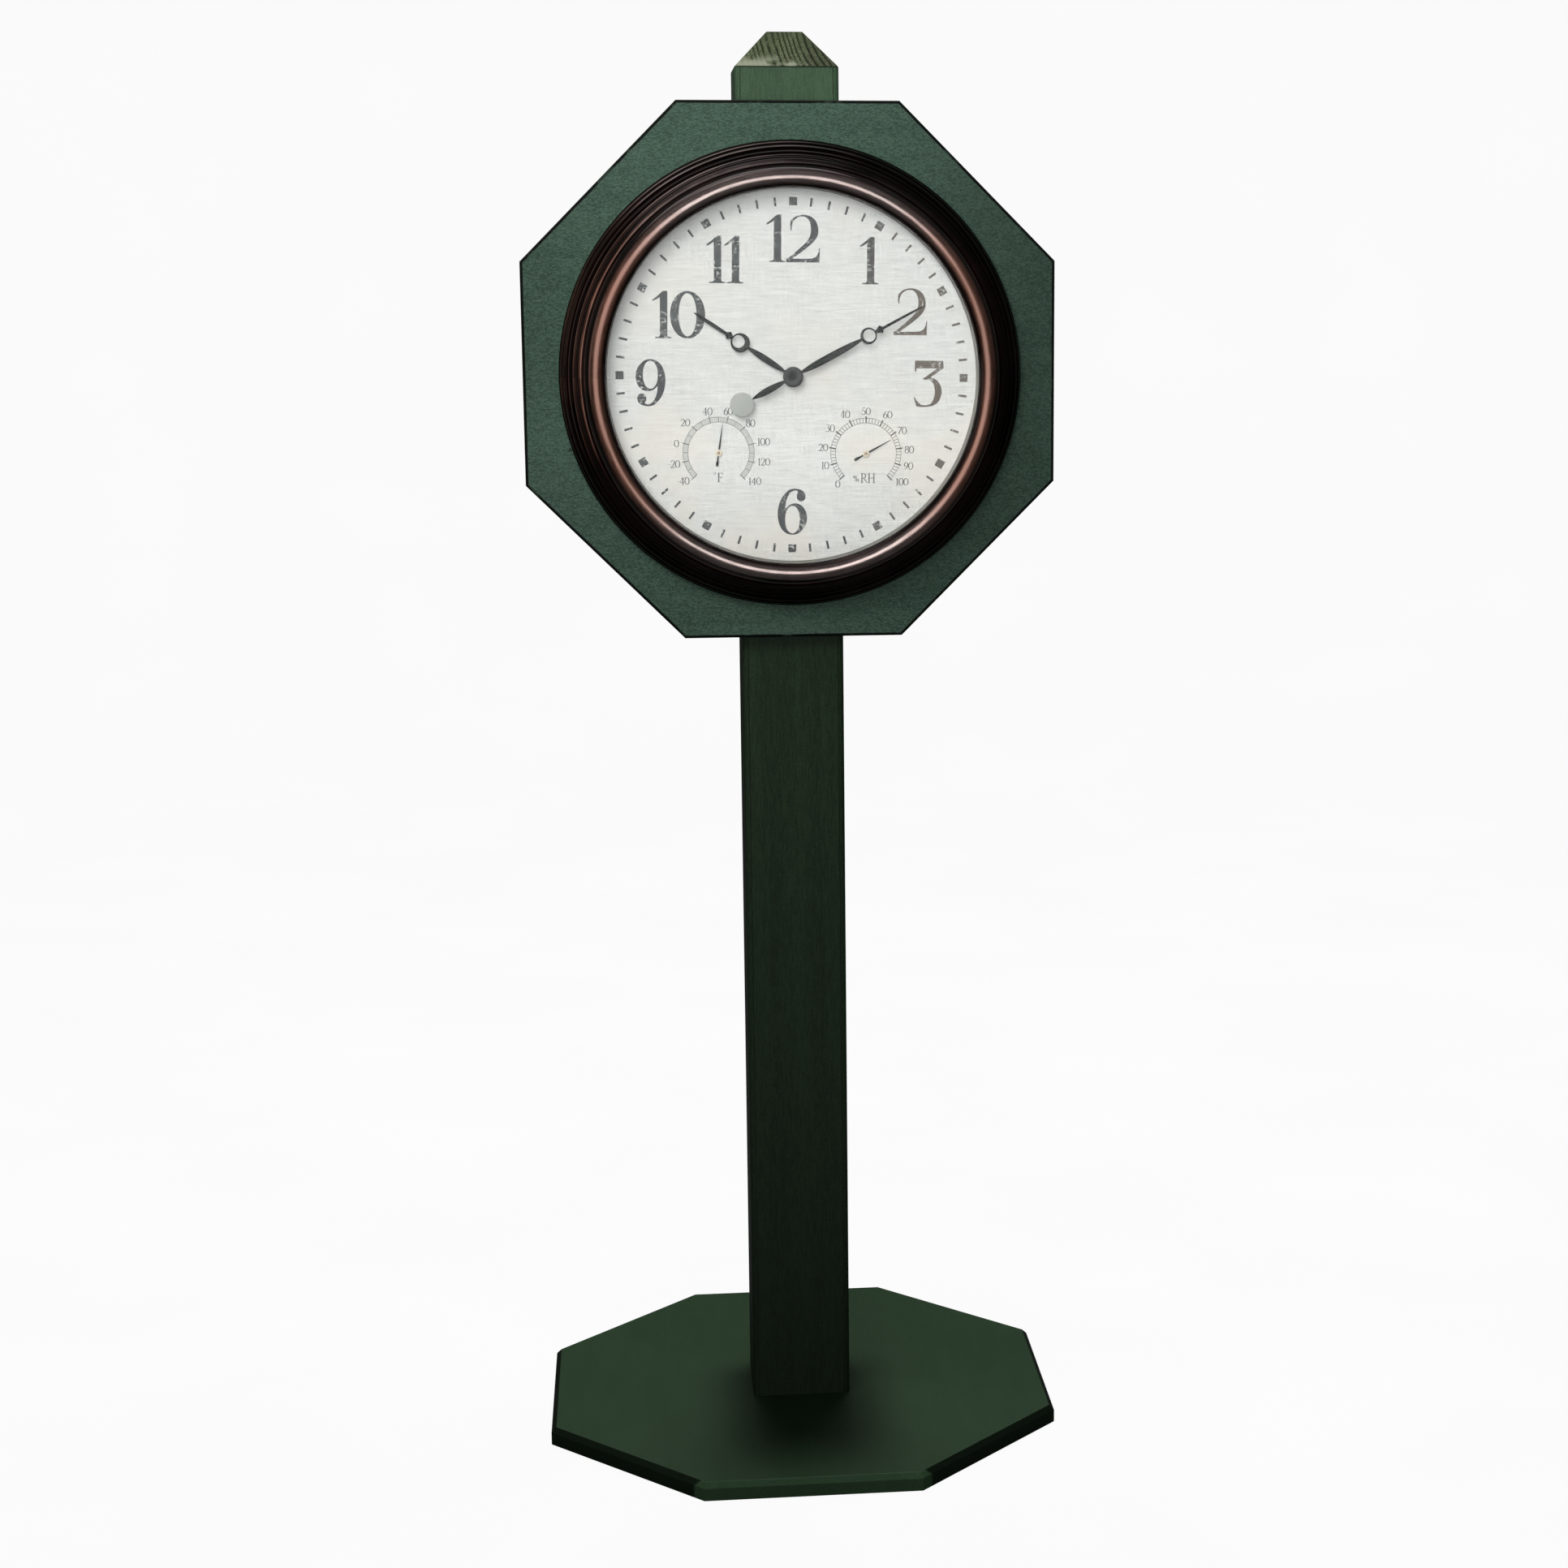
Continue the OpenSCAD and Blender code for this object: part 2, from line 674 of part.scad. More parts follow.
// flat blade along +Y from one of these outlines
module blade(stations, thickness) {
    linear_extrude(thickness) polygon(concat(
        [for (s = stations) [s[1], s[0]]],
        [for (i = [len(stations) - 1:-1:0]) [-stations[i][1], stations[i][0]]]));
}

// hub, leaf-shaped blade, ring with an off-centre hole, and barbed spear
module hand_shape(hub_r, leaf, ring_y, ring_r, hole_shift, spear, bore_r) {
    difference() {
        union() {
            upright(0, hub_r, hand_t, sides = 72);
            blade(leaf, hand_t);
            upright(0, ring_r, hand_t, [0, ring_y], 72);
            blade(spear, hand_t);
        }
        hole(0, 5.3, hand_t, [0, ring_y + hole_shift], 72);
        hole(0, bore_r, hand_t, sides = 48);
    }
}

module minute_hand() {
    color(hand_black)
    on_dial(minute_angle, h_min) difference() {
        union() {
            hand_shape(hub_r = 8.6, leaf = minute_leaf, ring_y = 73.1, ring_r = 7.05,
                hole_shift = 0.7, spear = minute_spear, bore_r = staff_r);
            blade(minute_tail, hand_t);
        }
        hole(0, staff_r, hand_t);
    }
}

// flat disc at the tail end of the minute hand, painted to match the dial
module minute_counterweight() {
    color([0.72, 0.74, 0.71])
    on_dial(minute_angle, h_min) difference() {
        upright(0, 10.2, hand_t, [0, -49.3], 72);
        translate([0, 0, -cut]) blade(tail_tip, hand_t + 2 * cut);
    }
}

module hand_nut() {
    seat = h_min + hand_t;
    color(steel * 0.5)
    on_clock() difference() {
        rotate_extrude() polygon(concat(
            [[0, seat], [3.1, seat], [3.1, seat + 0.5], [2.5, seat + 0.7]],
            arc(0, seat + 0.8, 2.4, 1.5, 4, 90, 10)));
        upright(h_min, staff_r, 2.3);
    }
}

// centre shaft with the cannon pinion; it carries the minute hand
module minute_arbor() {
    cannon_z = 16.6;
    color(brass)
    on_clock() union() {
        upright(h_pivot, pivot_r, 2);
        upright(7.4, staff_r, 8.0);
        gear(cannon_teeth, cannon_module, 1.6, z = 15.2, turn = -minute_angle);
        upright(cannon_z, cannon_r, h_min - cannon_z);
        upright(h_min - embed, staff_r, 2.4);
    }
}

module hour_wheel() {
    tube_z = 17.2;
    tube_len = 29.4 - tube_z;
    color(white_plastic)
    on_clock() difference() {
        union() {
            gear(hour_teeth, hour_module, 1.0, z = tube_z + embed, turn = hour_turn);
            upright(tube_z, hour_tube_r, tube_len);
        }
        hole(tube_z, cannon_r + run, tube_len);
    }
}

module hour_hand() {
    color(hand_black)
    on_dial(hour_angle, h_hour)
        hand_shape(hub_r = 8.3, leaf = hour_leaf, ring_y = 52.9, ring_r = 8.05,
            hole_shift = 1.8, spear = hour_spear, bore_r = hour_tube_r);
}

// ---------------------------------------------------- clock: motion work

knob_z = 1.9;
knob_t = 3.0;
knob_shaft_r = 1.0;
minute_pivot_r = 0.6;         // front pivot of the minute wheel

module minute_wheel() {
    color(white_plastic)
    on_clock(minute_at) union() {
        upright(knob_z, knob_shaft_r, 17.1);
        gear(minute_teeth, cannon_module, 1.0, z = 15.5, turn = minute_turn);
        gear(minute_pinion, hour_module, 2.4, z = 16.5, turn = minute_turn);
        upright(18.6, minute_pivot_r, 1.8);
    }
}

// thumb wheel at the back, for setting the hands
module set_knob() {
    color(white_plastic)
    on_clock(minute_at) difference() {
        upright(knob_z, 6.5, knob_t);
        for (i = [0:17]) rotate([0, 0, 20 * i]) hole(knob_z, 0.75, knob_t, [6.9, 0], 24);
        hole(knob_z, knob_shaft_r, knob_t);
    }
}

// ---------------------------------------------------- clock: going train

module centre_wheel() {
    hub_z = 7.6;
    hub_h = 1.6;
    color(brass)
    on_clock() difference() {
        union() {
            gear(centre_teeth, train_module, 1.0, z = hub_z + embed);
            upright(hub_z, 2.2, hub_h);
        }
        hole(hub_z, staff_r + run, hub_h);
        for (i = [0:3]) rotate([0, 0, 45 + 90 * i]) hole(hub_z, 1.6, hub_h, [4.9, 0]);
    }
}

module train_arbor() {
    upright(h_pivot, pivot_r, 14.6);
}

// wheel and pinion on one thin arbor
module train_wheel(at, turn, wheel_z, pinion_teeth, pinion_z, pinion_t) {
    on_clock(at) union() {
        train_arbor();
        gear(train_teeth, train_module, 0.8, wheel_z, turn);
        gear(pinion_teeth, train_module, pinion_t, pinion_z, turn);
    }
}

module third_wheel() {
    color(brass)
    train_wheel(third_at, third_turn, wheel_z = 9.6,
        pinion_teeth = third_pinion, pinion_z = 7.5, pinion_t = 1.7);
}

module seconds_wheel() {
    color(white_plastic)
    train_wheel(seconds_at, seconds_turn, wheel_z = 11.4,
        pinion_teeth = seconds_pinion, pinion_z = 9.3, pinion_t = 1.6);
}

module reduction_wheel() {
    color(white_plastic)
    train_wheel(reduction_at, reduction_turn, wheel_z = 13.2,
        pinion_teeth = reduction_pinion, pinion_z = 11.1, pinion_t = 1.5);
}

rotor_body_r = 1.1;

module rotor_shaft() {
    color(white_plastic)
    on_clock(rotor_at) union() {
        train_arbor();
        gear(rotor_pinion, train_module, 1.5, z = 12.9, turn = rotor_turn);
        upright(8.9, rotor_body_r, 3.6);
    }
}

module rotor_magnet() {
    color([0.25, 0.25, 0.27])
    on_clock(rotor_at) ring(9.4, 2.6, rotor_body_r, 2.8);
}

// ------------------------------------------------------- clock: gauges

// clockwise from the top of the small scale, seen from the front
thermo_angle = (temperature - 50) * 1.5;
hygro_angle = (humidity - 50) * 2.7;

// a place on the dial, after the dial's clockwise turn
function dial_place(x, y) = [
    x * cos(dial_turn) + y * sin(dial_turn),
    y * cos(dial_turn) - x * sin(dial_turn)];
thermo_at = dial_place(-gauge_x, -gauge_y);
hygro_at = dial_place(gauge_x, -gauge_y);

gauge_r = 24;
gauge_wall = 0.8;
gauge_back = 14.0;
gauge_floor = gauge_back + gauge_wall;
spindle_z = gauge_floor - embed;
coil_peg = [16.2, 0];         // post that holds the outer end of the spiral strip
coil_peg_r = 1.2;
spiral_r = [2.2, 15.0];       // inner and outer radius of the spiral strip
spiral_w = 3.5;

module gauge_housing(at) {
    inner_r = gauge_r - gauge_wall;
    bridge_half = 23.6;
    bridge_t = 1.2;
    on_clock(at) difference() {
        union() {
            difference() {
                upright(gauge_back, gauge_r, h_dial - gauge_back);
                upright(gauge_floor, inner_r, h_dial - gauge_floor + cut);
            }
            upright(spindle_z, 2.0, 1.4);
            upright(spindle_z, coil_peg_r, 6.0, coil_peg);
            translate([-bridge_half, -3, h_dial - bridge_t]) cube([2 * bridge_half, 6, bridge_t]);
        }
        upright(14.4, pivot_r + run, 12);
    }
}

// one edge of the spiral strip, offset outwards from its middle line
function spiral_edge(turns, offset, steps) =
    [for (i = steps) let (part = i / (20 * turns))
        (spiral_r[0] + (spiral_r[1] - spiral_r[0]) * part + offset) * toward(360 * turns * part)];

// spiral strip that moves the needle
module spiral_strip(at, turns, thickness) {
    last = 20 * turns;
    on_clock(at, 17) difference() {
        linear_extrude(spiral_w) polygon(concat(
            spiral_edge(turns, thickness / 2, [0:last]),
            spiral_edge(turns, -thickness / 2, [last:-1:0])));
        hole(0, coil_peg_r, spiral_w, coil_peg);
    }
}

module gauge_spindle(at) {
    on_clock(at) union() {
        upright(spindle_z, pivot_r, 11.8);
        upright(16.6, 1.2, 3.6);
    }
}

module gauge_needle(at, angle) {
    hub_h = 0.6;
    on_dial(angle, 25.2, at) difference() {
        union() {
            upright(0, 3.0, hub_h, sides = 48);
            blade(needle_outline, 0.4);
        }
        hole(0, pivot_r, hub_h);
    }
}

module thermometer_housing() { color(white_plastic) gauge_housing(thermo_at); }
module thermometer_coil() { color(brass) spiral_strip(thermo_at, turns = 5, thickness = 0.4); }
module thermometer_spindle() { color(steel) gauge_spindle(thermo_at); }
module thermometer_needle() { color(hand_black) gauge_needle(thermo_at, thermo_angle); }
module hygrometer_housing() { color(white_plastic) gauge_housing(hygro_at); }
module hygrometer_coil() { color(cream) spiral_strip(hygro_at, turns = 6, thickness = 0.5); }
module hygrometer_spindle() { color(steel) gauge_spindle(hygro_at); }
module hygrometer_needle() { color(hand_black) gauge_needle(hygro_at, hygro_angle); }

// ------------------------------------------------------------------ nodes

base_board();
post();
head_board();
base_screws();
head_screws();
hanging_screw();
clock_frame();
lens();
lens_gasket();
spacer_ring();
dial();
back_cover();
cover_screws();
hanger_plate();
hanger_rivets();
movement_case();
movement_plate();
battery();
battery_contacts();
circuit_board();
timing_crystal();
driver_chip();
coil_bobbin();
coil_winding();
coil_core();
stator();
rubber_washer();
brass_washer();
dial_nut();
minute_arbor();
minute_hand();
minute_counterweight();
hand_nut();
hour_wheel();
hour_hand();
minute_wheel();
set_knob();
centre_wheel();
third_wheel();
seconds_wheel();
reduction_wheel();
rotor_shaft();
rotor_magnet();
thermometer_housing();
thermometer_coil();
thermometer_spindle();
thermometer_needle();
hygrometer_housing();
hygrometer_coil();
hygrometer_spindle();
hygrometer_needle();
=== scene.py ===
# A garden clock on a stand: a round bronze-framed clock, with thermometer and hygrometer gauges
# on its dial, hangs on an eight-sided board at the head of a square post on an eight-sided foot.
# The frame is in metres with +Z up and the floor at z = 0. The clock faces the viewer at -Y,
# and +X is the viewer's right. Pieces of the clock are laid out in millimetres from its axis.
import math
import bmesh
import bpy
import numpy as np
from mathutils import Matrix, Vector, geometry


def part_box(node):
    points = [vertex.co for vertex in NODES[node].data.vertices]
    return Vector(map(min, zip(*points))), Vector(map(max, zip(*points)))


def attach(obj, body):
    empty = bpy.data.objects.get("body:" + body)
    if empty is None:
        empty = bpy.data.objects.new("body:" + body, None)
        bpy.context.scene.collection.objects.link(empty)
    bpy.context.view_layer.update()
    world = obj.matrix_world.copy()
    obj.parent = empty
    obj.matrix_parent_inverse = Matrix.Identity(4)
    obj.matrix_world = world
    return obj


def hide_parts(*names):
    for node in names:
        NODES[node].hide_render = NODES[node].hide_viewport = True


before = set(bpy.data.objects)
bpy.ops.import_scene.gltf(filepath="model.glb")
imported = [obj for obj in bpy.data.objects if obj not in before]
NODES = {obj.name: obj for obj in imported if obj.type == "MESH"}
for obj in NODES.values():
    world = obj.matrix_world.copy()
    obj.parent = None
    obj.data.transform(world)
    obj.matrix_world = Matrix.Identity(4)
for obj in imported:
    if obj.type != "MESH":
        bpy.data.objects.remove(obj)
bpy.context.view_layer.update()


ROUND_SEGMENTS = 288      # around the clock frame and the spacer ring

# ------------------------------------------------------------------ places, from the CAD pieces
LENS_LOW, LENS_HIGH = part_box("lens")
AXIS_X = (LENS_LOW.x + LENS_HIGH.x) / 2
AXIS_Z = (LENS_LOW.z + LENS_HIGH.z) / 2

HEAD_LOW, HEAD_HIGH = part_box("head_board")
HEAD_HALF = (HEAD_HIGH.x - HEAD_LOW.x) / 2
HEAD_Z = (HEAD_LOW.z + HEAD_HIGH.z) / 2
BOARD_Y = HEAD_LOW.y                             # front of the head board
HEAD_CHAMFER = 0.0013

BASE_LOW, BASE_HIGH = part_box("base_board")
BASE_HALF = (BASE_HIGH.x - BASE_LOW.x) / 2
BASE_CHAMFER = 0.0045

POST_LOW, POST_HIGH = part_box("post")
POST_HALF = (POST_HIGH.x - POST_LOW.x) / 2
POST_CORNER = 0.005                              # radius of the post's upright corners
CAP_RISE = 0.0311                                # height of the sloping cap
CAP_FLAT = 0.0153                                # half width of the flat on top of it
CAP_FOOT = POST_HIGH.z - CAP_RISE

DIAL_RADIUS = 0.157


def heights(node):
    """back and front of a node, in mm in front of the head board"""
    low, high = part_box(node)
    return (BOARD_Y - high.y) * 1000, (BOARD_Y - low.y) * 1000


def middle(node):
    """a node's middle in mm from the clock's axis"""
    low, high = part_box(node)
    return ((low.x + high.x) / 2 - AXIS_X) * 1000, ((low.z + high.z) / 2 - AXIS_Z) * 1000


def pointing(node, hub=(0.0, 0.0)):
    """clockwise angle of the farthest point of a pointer from its hub"""
    points = np.array([v.co for v in NODES[node].data.vertices])
    x = (points[:, 0] - AXIS_X) * 1000 - hub[0]
    y = (points[:, 2] - AXIS_Z) * 1000 - hub[1]
    far = int(np.argmax(np.hypot(x, y)))
    return math.degrees(math.atan2(x[far], y[far]))


FACE = heights("dial")[1]
MINUTE_BACK = heights("minute_hand")[0]
HOUR_BACK = heights("hour_hand")[0]
MINUTE_ANGLE = pointing("minute_hand")
HOUR_ANGLE = pointing("hour_hand")
THERMO_HUB = middle("thermometer_housing")
HYGRO_HUB = middle("hygrometer_housing")
# the dial sits turned clockwise by this many degrees
DIAL_TURN = math.degrees(math.atan2(THERMO_HUB[1] - HYGRO_HUB[1], HYGRO_HUB[0] - THERMO_HUB[0]))


def clock_point(x, y, height):
    """mm on the clock (x right, y up, height towards the viewer) to metres in the frame"""
    return (AXIS_X + x * 1e-3, BOARD_Y - height * 1e-3, AXIS_Z + y * 1e-3)


# ------------------------------------------------------------------ building node trees
# A colour is an sRGB triple of 0-255, a linear RGBA tuple, or a Field.
NOISE = (0.3, 0.7)       # the range that most of a noise falls in
FALL = (1, 0)            # a mask that fades out as its input rises


def linear(srgb):
    parts = [v / 255 for v in srgb]
    return tuple(v / 12.92 if v <= 0.04045 else ((v + 0.055) / 1.055) ** 2.4
                 for v in parts) + (1.0,)


def colour(value):
    return linear(value) if isinstance(value, tuple) and len(value) == 3 else value


def operator(name):
    return lambda self, other=0.0: self.mat.math(name, self, other)


def swapped(name):
    return lambda self, other: self.mat.math(name, other, self)


class Field:
    """an output of a shader node; arithmetic on it adds math nodes"""
    def __init__(self, mat, socket):
        self.mat = mat
        self.socket = socket

    __add__ = operator("ADD")
    __radd__ = swapped("ADD")
    __sub__ = operator("SUBTRACT")
    __rsub__ = swapped("SUBTRACT")
    __mul__ = operator("MULTIPLY")
    __truediv__ = operator("DIVIDE")
    __abs__ = operator("ABSOLUTE")
    min = operator("MINIMUM")
    max = operator("MAXIMUM")
    less_than = operator("LESS_THAN")
    arctan2 = operator("ARCTAN2")
    sqrt = operator("SQRT")
    sine = operator("SINE")
    fract = operator("FRACT")

    def ramp(self, span, to=(0.0, 1.0), smooth=True):
        """maps a span of this value onto another, held at both ends"""
        node = self.mat.node("ShaderNodeMapRange", Value=self, From_Min=span[0], From_Max=span[1],
                             To_Min=to[0], To_Max=to[1])
        node.interpolation_type = "SMOOTHSTEP" if smooth else "LINEAR"
        return Field(self.mat, node.outputs[0])


class Mat:
    def __init__(self, name):
        self.material = bpy.data.materials.new(name)
        self.material.use_nodes = True
        self.tree = self.material.node_tree
        self.tree.nodes.clear()
        self.output = self.node("ShaderNodeOutputMaterial")
        self.surface = self.node("ShaderNodeBsdfPrincipled")
        self.put(self.output.inputs[0], self.surface.outputs[0])
        self.position = self.node("ShaderNodeTexCoord").outputs["Object"]

    def put(self, socket, value):
        value = getattr(value, "socket", value)
        if isinstance(value, bpy.types.NodeSocket):
            self.tree.links.new(value, socket)
        else:
            socket.default_value = value

    def node(self, kind, **inputs):
        node = self.tree.nodes.new(kind)
        for name, value in inputs.items():
            self.put(node.inputs[name.replace("_", " ")], value)
        return node

    def numbered(self, node, values):
        """fills a node's first inputs in order"""
        for i, value in enumerate(values):
            self.put(node.inputs[i], value)
        return node

    def set(self, **inputs):
        for name, value in inputs.items():
            self.put(self.surface.inputs[name.replace("_", " ")], value)
        return self

    def shade_with(self, shader):
        """uses a shader in place of the principled one"""
        self.put(self.output.inputs[0], shader)
        self.tree.nodes.remove(self.surface)

    def mapped(self, stretch, shift, turn):
        if stretch is None and shift is None:
            return self.position
        return self.node("ShaderNodeMapping", Vector=self.position, Location=shift or (0, 0, 0),
                         Rotation=turn, Scale=stretch or (1, 1, 1)).outputs[0]

    def noise(self, scale=1.0, stretch=None, shift=None, turn=(0, 0, 0), at=None,
              detail=3.0, rough=0.55, dist=0.0):
        at = at or self.mapped(stretch, shift, turn)
        node = self.node("ShaderNodeTexNoise", Vector=at, Scale=scale, Detail=detail,
                         Roughness=rough, Distortion=dist)
        return Field(self, node.outputs[0])

    def cells(self, scale, shift=None):
        """distance from scattered points"""
        at = self.mapped(None, shift, (0, 0, 0))
        node = self.node("ShaderNodeTexVoronoi", Vector=at, Scale=scale)
        return Field(self, node.outputs["Distance"])

    def math(self, operation, first, second=0.0, clamp=False):
        node = self.node("ShaderNodeMath")
        node.operation = operation
        node.use_clamp = clamp
        self.numbered(node, (first, second, 0.0))
        return Field(self, node.outputs[0])

    def mix(self, factor, first, second):
        """mixes two colours"""
        node = self.node("ShaderNodeMix")
        node.data_type = "RGBA"
        node.blend_type = "MIX"
        self.put(node.inputs[0], factor)
        self.put(node.inputs[6], colour(first))
        self.put(node.inputs[7], colour(second))
        return Field(self, node.outputs[2])

    def blend(self, factor, first, second):
        """mixes two numbers"""
        node = self.node("ShaderNodeMix")
        node.data_type = "FLOAT"
        self.put(node.inputs[0], factor)
        self.put(node.inputs[2], first)
        self.put(node.inputs[3], second)
        return Field(self, node.outputs[0])

    def mix_shaders(self, factor, first, second):
        node = self.node("ShaderNodeMixShader")
        return self.numbered(node, (factor, first, second)).outputs[0]

    def scaled(self, tint, factor):
        """multiplies a colour by a number"""
        node = self.node("ShaderNodeVectorMath")
        node.operation = "SCALE"
        self.put(node.inputs[0], tint if isinstance(tint, Field) else linear(tint)[:3])
        self.put(node.inputs[3], factor)
        return Field(self, node.outputs[0])

    def xyz(self):
        node = self.node("ShaderNodeSeparateXYZ", Vector=self.position)
        return [Field(self, output) for output in node.outputs]

    def vector(self, *parts):
        return self.numbered(self.node("ShaderNodeCombineXYZ"), parts).outputs[0]

    def bump(self, height, strength, dist):
        node = self.node("ShaderNodeBump", Height=height, Strength=strength, Distance=dist)
        return node.outputs[0]

    def about_axis(self):
        """metres right of, above and away from the clock's axis, and the frame's y"""
        x, y, z = self.xyz()
        right = x - AXIS_X
        up = z - AXIS_Z
        return right, up, (right * right + up * up).sqrt(), y


def octagon_distance(x, y):
    """distance from an eight-sided board's centre, measured to its flats"""
    x, y = abs(x), abs(y)
    return x.max(y).max((x + y) * math.sqrt(0.5))


# ------------------------------------------------------------------ materials: timber
def stained_timber(name, tone, pale, grain, fleck, rough, spec, shading_and_stain, mottle,
                   edge, edge_colour, rim_shading_strength):
    """green stain; grain and fleck are the scales of the long noise and of the short marks"""
    mat = Mat(name)
    x, y, z = mat.xyz()
    long = mat.noise(stretch=grain, detail=5, rough=0.6, dist=0.25)
    short = mat.noise(stretch=fleck, detail=3, rough=0.7)
    tiny = mat.noise(stretch=[v * 2.3 for v in fleck], shift=(0.3, 0.1, 0.7), detail=2, rough=0.6)
    cloud = mat.noise(5.0, detail=2)
    shade = (long.ramp(NOISE, to=(-0.10, 0.10))
             + short.ramp((0.35, 0.65), to=(-0.30 * mottle, 0.30 * mottle))
             + tiny.ramp((0.35, 0.65), to=(-0.22 * mottle, 0.22 * mottle))
             + cloud.ramp(NOISE, to=(-0.08, 0.08)))
    tint = mat.mix(mat.math("ADD", 0.5, shade * 0.9, clamp=True), tone, pale)
    # pale specks and tiny dark pits
    speck = (mat.cells(26.0).ramp((0.016, 0.028), to=FALL)
             * mat.noise(7.0, detail=0).ramp((0.56, 0.6)))
    tint = mat.mix(speck * 0.75, tint, (170, 176, 160))
    pit = (mat.cells(19.0, shift=(0.37, 0.11, 0.21)).ramp((0.02, 0.045), to=FALL)
           * mat.noise(5.0, shift=(3, 1, 2), detail=0).ramp((0.52, 0.56)))
    tint = mat.mix(pit * 0.7, tint, (6, 10, 6))
    # painted light and shade together with stain, from each board's own function
    tint = mat.scaled(tint, shading_and_stain(mat, x, y, z))
    # painted edge line: a painted highlight on the foot's front arris and painted shade along the
    # head board's rim
    scuffs_and_edge_shading = edge(x, y, z) * mat.noise(55.0, detail=4).ramp((0.30, 0.62), to=(0.35, 1.0))
    tint = mat.mix(scuffs_and_edge_shading * rim_shading_strength, tint, edge_colour)
    relief = short * 0.6 + (long * 0.5 + tiny * 0.3)
    return mat.set(Base_Color=tint, Roughness=rough + short.ramp(NOISE, to=(-0.05, 0.07)),
                   Specular_IOR_Level=spec, Normal=mat.bump(relief, strength=0.22, dist=0.0006))


def head_edge(x, y, z):
    """where painted shade lies: the head board's front rim"""
    out = octagon_distance(x, z - HEAD_Z)
    front = (y - BOARD_Y).ramp((0.0012, 0.0018), to=FALL)
    return out.ramp((HEAD_HALF - 0.0029, HEAD_HALF - 0.0020)) * front


def head_light_and_stain(mat, x, y, z):
    """painted shade: the board is darker at left and right than in its middle, where the light
    falls strongest; its sawn edges are darker
    """
    out = octagon_distance(x, z - HEAD_Z)
    face = z.ramp((0.72, 1.18), to=(1.03, 1.02), smooth=False) * (
        x.ramp((-0.24, -0.10), to=(0.88, 1.0)) * x.ramp((0.03, 0.24), to=(1.0, 0.60)))
    return face * out.ramp((HEAD_HALF - 0.0012, HEAD_HALF - 0.0004), to=(1.0, 0.55))


def foot_front(y):
    """the strip of the foot along its front side"""
    return y.ramp((-0.2215, -0.2190), to=FALL)


def foot_edge(x, y, z):
    """where a painted highlight lies: the front arris between the foot's top and its chamfer"""
    out = octagon_distance(x, y)
    top = z.ramp((0.010, 0.0113))
    front = foot_front(y)
    arris = abs(out - (BASE_HALF - BASE_CHAMFER)).ramp((0.0002, 0.0010), to=FALL)
    return arris * top * front


def foot_stain_and_shadow(mat, x, y, z):
    """the foot's edge is stained darker than its top, and painted shade keeps the side edges far
    darker than the front; a painted shadow of the post lies on the top around and in front of it
    """
    out = octagon_distance(x, y)
    front = foot_front(y)
    edge = out.ramp((BASE_HALF - 0.0047, BASE_HALF - 0.0042))
    # painted shade: the side edges much darker than the front strip
    dark = mat.blend(front, 0.14, z.ramp((0.0112, 0.0118), to=(0.72, 1.0)))
    # painted shadow of the post on the top of the foot
    across = abs(x).ramp((0.026, 0.105), to=FALL)
    along = y.ramp((-0.262, -0.120)) * y.ramp((0.0, 0.060), to=FALL)
    post_shadow = 1.0 - across * along * 0.80
    return mat.blend(edge, 1.0, dark) * post_shadow


HEAD_TIMBER = stained_timber(
    "green_head_board", tone=(40, 60, 49), pale=(76, 98, 85), grain=(12, 60, 60),
    fleck=(400, 900, 900), rough=0.55, spec=0.10, shading_and_stain=head_light_and_stain, mottle=1.45,
    # the near-black edge colour is painted shade along the rim
    edge=head_edge, edge_colour=(5, 10, 6), rim_shading_strength=1.9)
FOOT_TIMBER = stained_timber(
    "green_foot", tone=(38, 60, 38), pale=(53, 75, 53), grain=(60, 12, 12),
    fleck=(240, 700, 700), rough=0.45, spec=0.06, shading_and_stain=foot_stain_and_shadow, mottle=0.6,
    # the pale edge colour is a painted highlight along the front arris
    edge=foot_edge, edge_colour=(58, 78, 58), rim_shading_strength=0.55)


